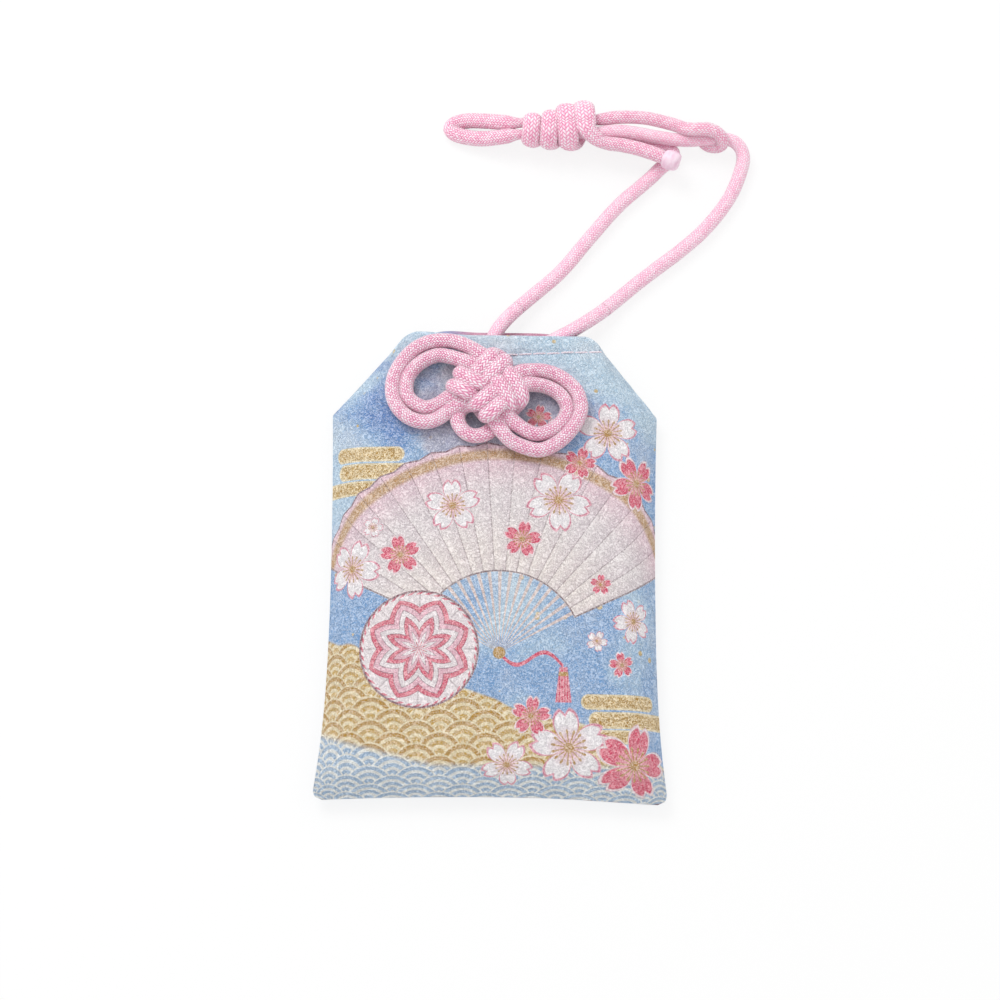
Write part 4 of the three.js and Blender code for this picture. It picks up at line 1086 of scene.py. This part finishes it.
def cloth_material(name, draw):
    """Printed crepe: the print is broken up by the curly grain of the cloth, with a painted
    highlight on the grain's ridges and painted shade in its hollows.
    """
    palette = bpy.context.scene.amulet_print
    material, wires, shader = new_material(name)
    x, y = print_place(wires)
    height, shade_tone, cloud = wires.group(crepe_group(), x, y, 0.46)
    tint = draw(wires, x, y, cloud, shade_tone, palette)
    # Painted highlight: white specks where the crepe grain stands high.
    tint = wires.mix(wires.step(0.42, 0.60, shade_tone) * 0.36, tint, linear(252, 252, 252))
    # Painted shade: a grey darkening where the crepe grain lies low.
    shade = wires.node("ShaderNodeMix", data_type="RGBA", blend_type="MULTIPLY")
    wires.feed(shade.inputs[0], wires.step(0.36, 0.16, shade_tone) * 0.45)
    wires.feed(shade.inputs[6], tint)
    wires.feed(shade.inputs[7], linear(176, 176, 186))
    wires.feed(shader.inputs["Base Color"], shade.outputs[2])
    wires.feed(shader.inputs["Roughness"], 0.9 - height * 0.15)
    shader.inputs["Sheen Weight"].default_value = 0.12
    shader.inputs["Specular IOR Level"].default_value = 0.2
    bump(wires, shader, height, 0.00011)
    return material


def lining_material():
    palette = bpy.context.scene.amulet_print
    material, wires, shader = new_material("Inner side of the cloth")
    x, y = print_place(wires)
    height, shade_tone, cloud = wires.group(crepe_group(), x, y, 0.34)
    patchy = wires.step(0.3, 0.7, cloud) * 0.4
    tint = wires.mix(patchy, tuple(palette.lining), linear(236, 196, 214))
    tint = wires.mix(wires.step(-3.0, -8.0, x) * 0.7, tint, tuple(palette.sky))
    # Painted highlight: pale specks where the crepe grain stands high.
    tint = wires.mix(wires.step(0.5, 0.95, shade_tone) * 0.3, tint, linear(250, 246, 250))
    wires.feed(shader.inputs["Base Color"], tint)
    shader.inputs["Roughness"].default_value = 0.9
    bump(wires, shader, height, 0.0001)
    return material


def plain_material(name, low, high, scale, stretch, rough):
    """A plain natural stuff with fibres: paper, board or wadding."""
    material, wires, shader = new_material(name)
    source = wires.node("ShaderNodeTexCoord")
    parts = wires.node("ShaderNodeSeparateXYZ")
    wires.tree.links.new(source.outputs["Object"], parts.inputs[0])
    x, y, z = (Number(wires, socket) for socket in parts.outputs)
    fibre = wires.noise(wires.place(x, y * stretch, z), scale, 4.0, 0.5)
    wires.feed(shader.inputs["Base Color"], wires.mix(wires.step(0.3, 0.7, fibre), low, high))
    shader.inputs["Roughness"].default_value = rough
    bump(wires, shader, fibre, 0.0001)
    return material


# Operators
class AMULET_OT_stage(bpy.types.Operator):
    """Sets up the camera, the floor and the soft light"""
    bl_idname = "amulet.stage"
    bl_label = "Stage"

    def execute(self, context):
        stage = context.scene.amulet_stage
        context.scene.view_settings.view_transform = "Standard"
        target = Vector(stage.target)
        back = Vector((0, -math.cos(stage.elevation), math.sin(stage.elevation)))
        up = Vector((0, math.sin(stage.elevation), math.cos(stage.elevation)))
        right = Vector((1, 0, 0))
        turned = right * math.cos(stage.roll) + up * math.sin(stage.roll)
        upright = up * math.cos(stage.roll) - right * math.sin(stage.roll)
        lens = bpy.data.cameras.new("Camera")
        lens.sensor_fit = "HORIZONTAL"
        lens.angle = stage.view_angle
        lens.clip_start = 0.01
        camera = bpy.data.objects.new("Camera", lens)
        camera.matrix_world = Matrix.Translation(target + back * stage.distance) @ Matrix(
            (turned, upright, back)).transposed().to_4x4()
        context.scene.collection.objects.link(camera)
        context.scene.camera = camera
        self.floor(context)
        self.lights(context, stage)
        return {"FINISHED"}

    def seen_directly(self, wires):
        """1 for rays from the camera and for what shows in gloss and glass, else 0."""
        rays = wires.node("ShaderNodeLightPath")
        seen = wires.greater(Number(wires, rays.outputs["Is Camera Ray"]),
                             Number(wires, rays.outputs["Is Glossy Ray"]))
        return wires.greater(seen, Number(wires, rays.outputs["Is Transmission Ray"]))

    def floor(self, context):
        material = bpy.data.materials.new("Pale floor")
        material.use_nodes = True
        tree = material.node_tree
        tree.nodes.clear()
        wires = Wires(tree)
        matt = wires.node("ShaderNodeBsdfDiffuse")
        matt.inputs["Color"].default_value = (0.9, 0.9, 0.9, 1)
        white = wires.node("ShaderNodeEmission")
        blended = wires.node("ShaderNodeMixShader")
        wires.feed(blended.inputs[0], self.seen_directly(wires) * 0.82)
        tree.links.new(matt.outputs[0], blended.inputs[1])
        tree.links.new(white.outputs[0], blended.inputs[2])
        output = wires.node("ShaderNodeOutputMaterial")
        tree.links.new(blended.outputs[0], output.inputs["Surface"])
        just_below = -0.00003
        corners = [(x, y, just_below) for x, y in ((-1, -1), (1, -1), (1, 1), (-1, 1))]
        floor = mesh_object("floor", corners, [(0, 1, 2, 3)], material=material)

    def lights(self, context, stage):
        world = bpy.data.worlds.new("Room")
        world.use_nodes = True
        context.scene.world = world
        tree = world.node_tree
        wires = Wires(tree)
        room = tree.nodes["Background"]
        room.inputs["Color"].default_value = (1, 1, 1, 1)
        room.inputs["Strength"].default_value = stage.sky_light
        white = wires.node("ShaderNodeBackground")
        white.inputs["Color"].default_value = (1, 1, 1, 1)
        blended = wires.node("ShaderNodeMixShader")
        wires.feed(blended.inputs[0], self.seen_directly(wires))
        tree.links.new(room.outputs[0], blended.inputs[1])
        tree.links.new(white.outputs[0], blended.inputs[2])
        tree.links.new(blended.outputs[0], tree.nodes["World Output"].inputs["Surface"])
        lamp = bpy.data.lights.new("Key lamp", "AREA")
        lamp.energy = stage.key_power
        lamp.size = 0.22
        key = bpy.data.objects.new("Key lamp", lamp)
        place = Vector((-0.16, 0.26, 0.34))
        key.matrix_world = Matrix.Translation(place) @ (
            place - Vector(stage.target)).to_track_quat("Z", "Y").to_matrix().to_4x4()
        context.scene.collection.objects.link(key)


class AMULET_OT_free_cords(bpy.types.Operator):
    """Lays the two free strands from the mouth of the pouch to the small knots"""
    bl_idname = "amulet.free_cords"
    bl_label = "Free cords"

    def execute(self, context):
        cord = context.scene.amulet_cord
        radius = cord.free_diameter / 2
        self.strand("left", LEFT_STRAND, radius, cord)
        path, _ = smooth_path(RIGHT_STRAND, STRAND_STEP)
        at_knots = soft_step(0.064, 0.0685, path[:, 1])
        in_knots = radius + (pair_radius(path, cord) - radius) * at_knots
        self.strand("right", RIGHT_STRAND, in_knots, cord)
        return {"FINISHED"}

    def strand(self, side, points, radius, cord):
        path, along = smooth_path(points, STRAND_STEP)
        size = np.broadcast_to(np.asarray(radius, float), (len(path),))
        split = int(np.argmax(path[:, 1] > 0.0396))
        root = tube(side + "_cord_root", path[:split + 1], along[:split + 1], size[:split + 1],
                    cord_material())
        free = tube(side + "_cord", path[split:], along[split:] - along[split], size[split:],
                    cord_material(), begin=along[split])
        self.match_frames(path, split, free)
        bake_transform(root)
        if side == "left":
            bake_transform(free)
        else:
            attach(free, "hanger")
        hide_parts("knot_lead_" + side)
        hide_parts(side + "_strand")

    def match_frames(self, path, split, free):
        """Turns the braid of the free part so that it goes on from the root's."""
        right, _ = carried_frames(path)
        fresh, above = carried_frames(path[split:])
        turn = math.atan2(np.dot(right[split], above[0]), np.dot(right[split], fresh[0]))
        layer = free.data.uv_layers[0].data
        values = np.zeros(len(layer) * 2, np.float32)
        layer.foreach_get("uv", values)
        values[0::2] -= turn / (2 * math.pi)
        layer.foreach_set("uv", values)


class AMULET_OT_small_knots(bpy.types.Operator):
    """Ties the slip knot, the stop knot and the hanging loop, and melts the cord's end"""
    bl_idname = "amulet.small_knots"
    bl_label = "Small knots and hanging loop"

    def execute(self, context):
        cord = context.scene.amulet_cord
        self.hanging_loop(cord)
        self.slip_knot(cord)
        self.stop_knot(cord)
        return {"FINISHED"}

    def hanging_loop(self, cord):
        path, along = smooth_path(HANGING_LOOP, 0.00028)
        radius = squeezed(path, 3.6, 20.0, PAIR_RADIUS, 0.55 * cord.free_diameter, 2.4)
        loop = tube("hanging_loop", path, along, radius, cord_material("wound"))
        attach(loop, "hanger")
        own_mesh(loop)
        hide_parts("end_loop")

    def slip_knot(self, cord):
        points = []
        for i in range(int(SLIP_TURNS * STEPS_PER_TURN) + 1):
            turn = i / STEPS_PER_TURN
            angle = 2 * math.pi * turn - math.pi / 2
            swell = float(soft_step(0.6, 2.4, turn))
            far = max(0.0, math.cos(angle))
            reach = float(np.interp(turn, (0.25, 1.25, 2.25, 3.25), (-0.8, -0.3, 0.65, 1.25)))
            points.append((float(np.interp(turn, *SLIP_RUN)),
                           SLIP_AXIS[0] + (SLIP_RADIUS + reach * far) * math.cos(angle)
                           - 0.45 * swell * max(0.0, -math.cos(angle)),
                           SLIP_AXIS[1] + (SLIP_RADIUS + 0.5 * swell) * math.sin(angle)
                           + 1.1 * swell * far))
        path, along = smooth_path(points + SLIP_TAIL, WRAP_STEP)
        on_tail = soft_step(0.0148, 0.018, path[:, 0])
        radius = (cord.wrap_diameter + (cord.free_diameter - cord.wrap_diameter) * on_tail) / 2
        wraps = tube("slip_knot_wraps", path, along, radius, cord_material("wound"), sides=20)
        wound = 1 - on_tail
        wide = 0.4 + 0.2 * soft_step(0.0088, 0.0104, path[:, 0])
        reshape(wraps, path, 20, 1 + wide * wound, 1 - 0.08 * wound, 1 - 0.12 * wound)
        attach(wraps, "slip")
        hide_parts("slip_knot")
        self.melted_tip(path[-1], path[-1] - path[-4])

    def melted_tip(self, start, way):
        way = way / np.linalg.norm(way)
        profile = [(-0.1, 1.0), (0.1, 1.2), (0.35, 1.42), (0.8, 1.55), (1.5, 1.58), (2.05, 1.5),
                   (2.4, 1.3), (2.62, 0.95), (2.7, 0.5)]
        steps = np.linspace(profile[0][0], profile[-1][0], 26)
        radius = np.interp(steps, *zip(*profile)) * MM
        path = start + way * steps[:, None] * MM
        tip = tube("melted_cord_tip", path, (steps - steps[0]) * MM, radius, melted_material(),
                   sides=24)
        places = np.array([v.co for v in tip.data.vertices])
        middle = start + way * 0.0013
        lumps = 0.06 * np.sin(places[:, 1] * 2900 + 1) * np.sin(places[:, 2] * 2500)
        places = middle + (places - middle) * (1 + lumps[:, None])
        tip.data.vertices.foreach_set("co", places.astype(np.float32).ravel())
        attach(tip, "slip")
        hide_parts("melted_tip")

    def stop_knot(self, cord):
        path, along = smooth_path(STOP_RUN, WRAP_STEP)
        radius = pair_radius(path, cord)
        knot = tube("stop_knot_cord", path, along, radius, cord_material("wound"), sides=20)
        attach(knot, "hanger")
        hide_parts("stop_knot")


class AMULET_OT_front_knot(bpy.types.Operator):
    """Ties the woven knot with its two double loops on the front of the pouch"""
    bl_idname = "amulet.front_knot"
    bl_label = "Front knot"

    def execute(self, context):
        cord = context.scene.amulet_cord
        pouch = context.scene.amulet_pouch
        height = KNOT_CENTRE[1] * MM + (pouch.front_height + pouch.rim_show) / 2
        rise = front_top(pouch, np.float64(0), height + 0.0005)
        rise = float(rise - front_top(pouch, np.float64(0), height - 0.0005)) / 0.001
        level = float(front_top(pouch, np.float64(0), height))
        lean = Matrix.Rotation(math.atan(rise), 3, "X")
        seat = Vector((KNOT_CENTRE[0], KNOT_CENTRE[1], level / MM))
        points = [tuple(lean @ Vector(p) + seat) for p in FRONT_KNOT_ROUTE]
        path, along = smooth_path(points, 0.00024)
        knot = tube("front_knot_cord", path, along, cord.knot_diameter / 2, cord_material("tight"),
                    sides=20)
        away = np.hypot(path[:, 0] - KNOT_CENTRE[0] * MM, path[:, 1] - (KNOT_CENTRE[1] - 0.5) * MM)
        flat = soft_step(0.0078, 0.0052, away)
        reshape(knot, path, 20, 1 + 0.13 * flat, 1 + 0.13 * flat, 1 - 0.28 * flat)
        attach(knot, "knot")
        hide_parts("front_knot")
        for name, way in (("knot_stub_left", points[-1:] + LEFT_STUB),
                          ("knot_stub_right", points[:1] + RIGHT_STUB)):
            path, along = smooth_path(way, 0.00025)
            stub = tube(name, path, along, cord.knot_diameter / 2, cord_material("tight"))
            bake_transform(stub)
        return {"FINISHED"}


class AMULET_OT_cloths(bpy.types.Operator):
    """Makes the front and back cloths of the pouch"""
    bl_idname = "amulet.cloths"
    bl_label = "Front and back cloths"

    def execute(self, context):
        pouch = context.scene.amulet_pouch
        lining = lining_material()
        self.front(pouch, lining)
        self.back(pouch, lining)
        return {"FINISHED"}

    def front(self, pouch, lining):
        across, height = cloth_grid(pouch.front_height, 171, 0.00036)
        x, y, side = plan(pouch, across, height)
        full = fullness(pouch, side, height)
        level = front_top(pouch, across, height, SEAM_GAP) + front_relief(pouch, across, height)
        level = np.maximum(level, pouch.seam_level + SEAM_GAP)
        thick = pouch.fabric * full * (1 + 0.4 * soft_step(
            pouch.front_height - pouch.hem_depth, pouch.front_height, height))
        outer = np.stack([x, y, level], axis=-1)
        inner = np.stack([x, y, level - thick], axis=-1)
        middle = (outer[:-1, :-1] + outer[1:, 1:]) / 2
        off_x = (middle[..., 0] / MM - HOLE_CENTRE[0]) / (HOLE_SIZE[0] / 2)
        off_y = (middle[..., 1] / MM - HOLE_CENTRE[1]) / (HOLE_SIZE[1] / 2)
        cut = off_x ** 2 + off_y ** 2 < 1
        flat = print_places(pouch, across, height, pouch.edge_rise)
        cloth = shell("front_cloth", outer, inner, flat, cut,
                      cloth_material("Printed front crepe", front_print), lining)
        self.declare(cloth, "front_panel", pouch, pouch.front_height)

    def back(self, pouch, lining):
        top = pouch.front_height + pouch.rim_show
        across, height = cloth_grid(top, 121, 0.0006)
        over = np.clip((height - 0.06) / (top - 0.06), 0, 1)
        height = height - pouch.rim_show * 1.15 * np.abs(across) ** 6 * over
        x, y, side = plan(pouch, across, height)
        full = fullness(pouch, side, height)
        turn = np.clip((over - 0.967) / 0.033, 0, 1)
        ease = 0.0003 * (1 - np.sqrt(1 - turn ** 2))
        level = (pouch.seam_level - SEAM_GAP) * (1 - full) + ease
        wave, fade = side_puckers(side, height)
        level = level + 0.6 * pouch.pucker * fade * (1 + wave) * full
        thick = pouch.fabric * full * (1 + 0.4 * soft_step(top - pouch.hem_depth, top, height))
        under = np.stack([x, y, level], axis=-1)
        upper = np.stack([x, y, level + thick - 2 * ease], axis=-1)
        flat = print_places(pouch, across, height, pouch.seam_level)
        cut = np.zeros((across.shape[0] - 1, across.shape[1] - 1), bool)
        cloth = shell("back_cloth", under[:, ::-1], upper[:, ::-1], flat[:, ::-1], cut,
                      cloth_material("Printed back crepe", back_print), lining)
        self.declare(cloth, "back_panel", pouch, top)

    def declare(self, cloth, node, pouch, top):
        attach(cloth, "pouch")
        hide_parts(node)


class AMULET_OT_stitches(bpy.types.Operator):
    """Sews the hems and the seam round the sides and the base"""
    bl_idname = "amulet.stitches"
    bl_label = "Stitches"

    def execute(self, context):
        pouch = context.scene.amulet_pouch
        across = np.linspace(-0.8, 0.98, 700)
        high = hem_line(pouch, plan(pouch, across, np.full_like(across, pouch.front_height))[0])
        x, y, _ = plan(pouch, across, high)
        level = front_top(pouch, across, high, SEAM_GAP) + front_relief(pouch, across, high)
        hem = self.row("front_hem_stitches", np.stack([x, y, level + 0.00005], axis=-1), 0.0021)
        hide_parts("front_hem_thread")
        high = np.full_like(across, pouch.front_height + pouch.rim_show - 0.0024)
        x, y, _ = plan(pouch, across, high)
        rim = self.row("back_hem_stitches",
                       np.stack([x, y, np.full_like(x, pouch.fabric * 1.2)], axis=-1), 0.0021)
        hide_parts("back_hem_thread")
        self.seam(pouch)
        return {"FINISHED"}

    def row(self, name, line, pitch):
        """A row of short stitches along a line of points."""
        gone = np.concatenate([[0], np.cumsum(np.linalg.norm(np.diff(line, axis=0), axis=1))])
        stitches = []
        count = int(gone[-1] / pitch)
        for i in range(count):
            spots = np.linspace(i * pitch + 0.06 * pitch, (i + 0.94) * pitch, 9)
            points = np.stack([np.interp(spots, gone, line[:, k]) for k in range(3)], axis=1)
            points[:, 2] += 0.00016 * np.sin(np.linspace(0, math.pi, 9)) ** 0.5 - 0.0001
            points[:, 1] += 0.00004 * math.sin(i * 2.4)
            path, along = smooth_path(points / MM, 0.00012)
            stitches.append(tube(name, path, along, 0.00013, thread_material(), sides=8))
        return self.joined(name, stitches)

    def joined(self, name, parts):
        with bpy.context.temp_override(active_object=parts[0], selected_editable_objects=parts):
            bpy.ops.object.join()
        made = parts[0]
        made.name = name
        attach(made, "pouch")
        return made

    def seam(self, pouch):
        """The seam's thread, back and forth through both cloths just inside the edge."""
        heights = np.linspace(pouch.front_height - 0.004, 0.0022, 240)
        left = [(-1, h) for h in heights]
        right = [(1, h) for h in heights[::-1]]
        points = []
        for side, h in left + right:
            half = float(half_width(pouch, np.float64(h), np.float64(side)))
            points.append((side * (half - 0.0017), h - (pouch.front_height + pouch.rim_show) / 2))
        line = np.array(points)
        gone = np.concatenate([[0], np.cumsum(np.linalg.norm(np.diff(line, axis=0), axis=1))])
        level = pouch.seam_level + 0.00022 * np.sin(gone * 2 * math.pi / 0.0042)
        path, along = smooth_path(np.column_stack([line, level]) / MM, 0.0004)
        thread = tube("seam_stitches", path, along, 0.00017, thread_material(), sides=8)
        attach(thread, "pouch")
        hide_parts("side_seam_thread")


class AMULET_OT_filling(bpy.types.Operator):
    """Fills the pouch with its wadding, paper wrapper and charm board"""
    bl_idname = "amulet.filling"
    bl_label = "Filling"

    def execute(self, context):
        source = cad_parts["front_wadding"]
        pad = bpy.data.objects.new("charm_filling", source.data.copy())
        context.scene.collection.objects.link(pad)
        pad.data.materials.clear()
        pad.data.materials.append(plain_material(
            "Cotton wadding", linear(236, 232, 224), linear(250, 248, 243), 900, 1.0, 0.95))
        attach(pad, "pouch")
        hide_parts("front_wadding")
        paper = plain_material(
            "Folded paper", linear(240, 235, 222), linear(250, 247, 240), 700, 0.4, 0.85)
        board = plain_material(
            "Cedar board", linear(206, 176, 128), linear(228, 204, 162), 900, 0.06, 0.7)
        for node, material in (("paper_wrapper", paper), ("charm_board", board)):
            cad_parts[node].data.materials.clear()
            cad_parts[node].data.materials.append(material)
        return {"FINISHED"}


class AMULET_PT_panel(bpy.types.Panel):
    """Lists the steps that build the amulet pouch"""
    bl_idname = "AMULET_PT_panel"
    bl_label = "Amulet Pouch"
    bl_space_type = "VIEW_3D"
    bl_region_type = "UI"
    bl_category = "Amulet"

    def draw(self, context):
        for step in STEPS:
            self.layout.operator(step.bl_idname)
        for settings in SETTINGS:
            box = self.layout.box()
            group = getattr(context.scene, settings)
            for key in group.bl_rna.properties.keys():
                if key not in ("rna_type", "name"):
                    box.prop(group, key)


STEPS = (AMULET_OT_stage, AMULET_OT_free_cords, AMULET_OT_small_knots, AMULET_OT_front_knot,
         AMULET_OT_filling, AMULET_OT_cloths, AMULET_OT_stitches)
SETTINGS = {"amulet_pouch": PouchSettings, "amulet_cord": CordSettings,
            "amulet_print": PrintSettings, "amulet_stage": StageSettings}


def register():
    for kind in (*SETTINGS.values(), *STEPS, AMULET_PT_panel):
        bpy.utils.register_class(kind)
    for name, kind in SETTINGS.items():
        setattr(bpy.types.Scene, name, bpy.props.PointerProperty(type=kind))


def unregister():
    for name in SETTINGS:
        delattr(bpy.types.Scene, name)
    for kind in reversed((*SETTINGS.values(), *STEPS, AMULET_PT_panel)):
        bpy.utils.unregister_class(kind)


def main():
    register()
    bpy.ops.amulet.stage()
    bpy.ops.amulet.free_cords()
    bpy.ops.amulet.small_knots()
    bpy.ops.amulet.front_knot()
    bpy.ops.amulet.filling()
    bpy.ops.amulet.cloths()
    bpy.ops.amulet.stitches()


if __name__ == "__main__":
    main()
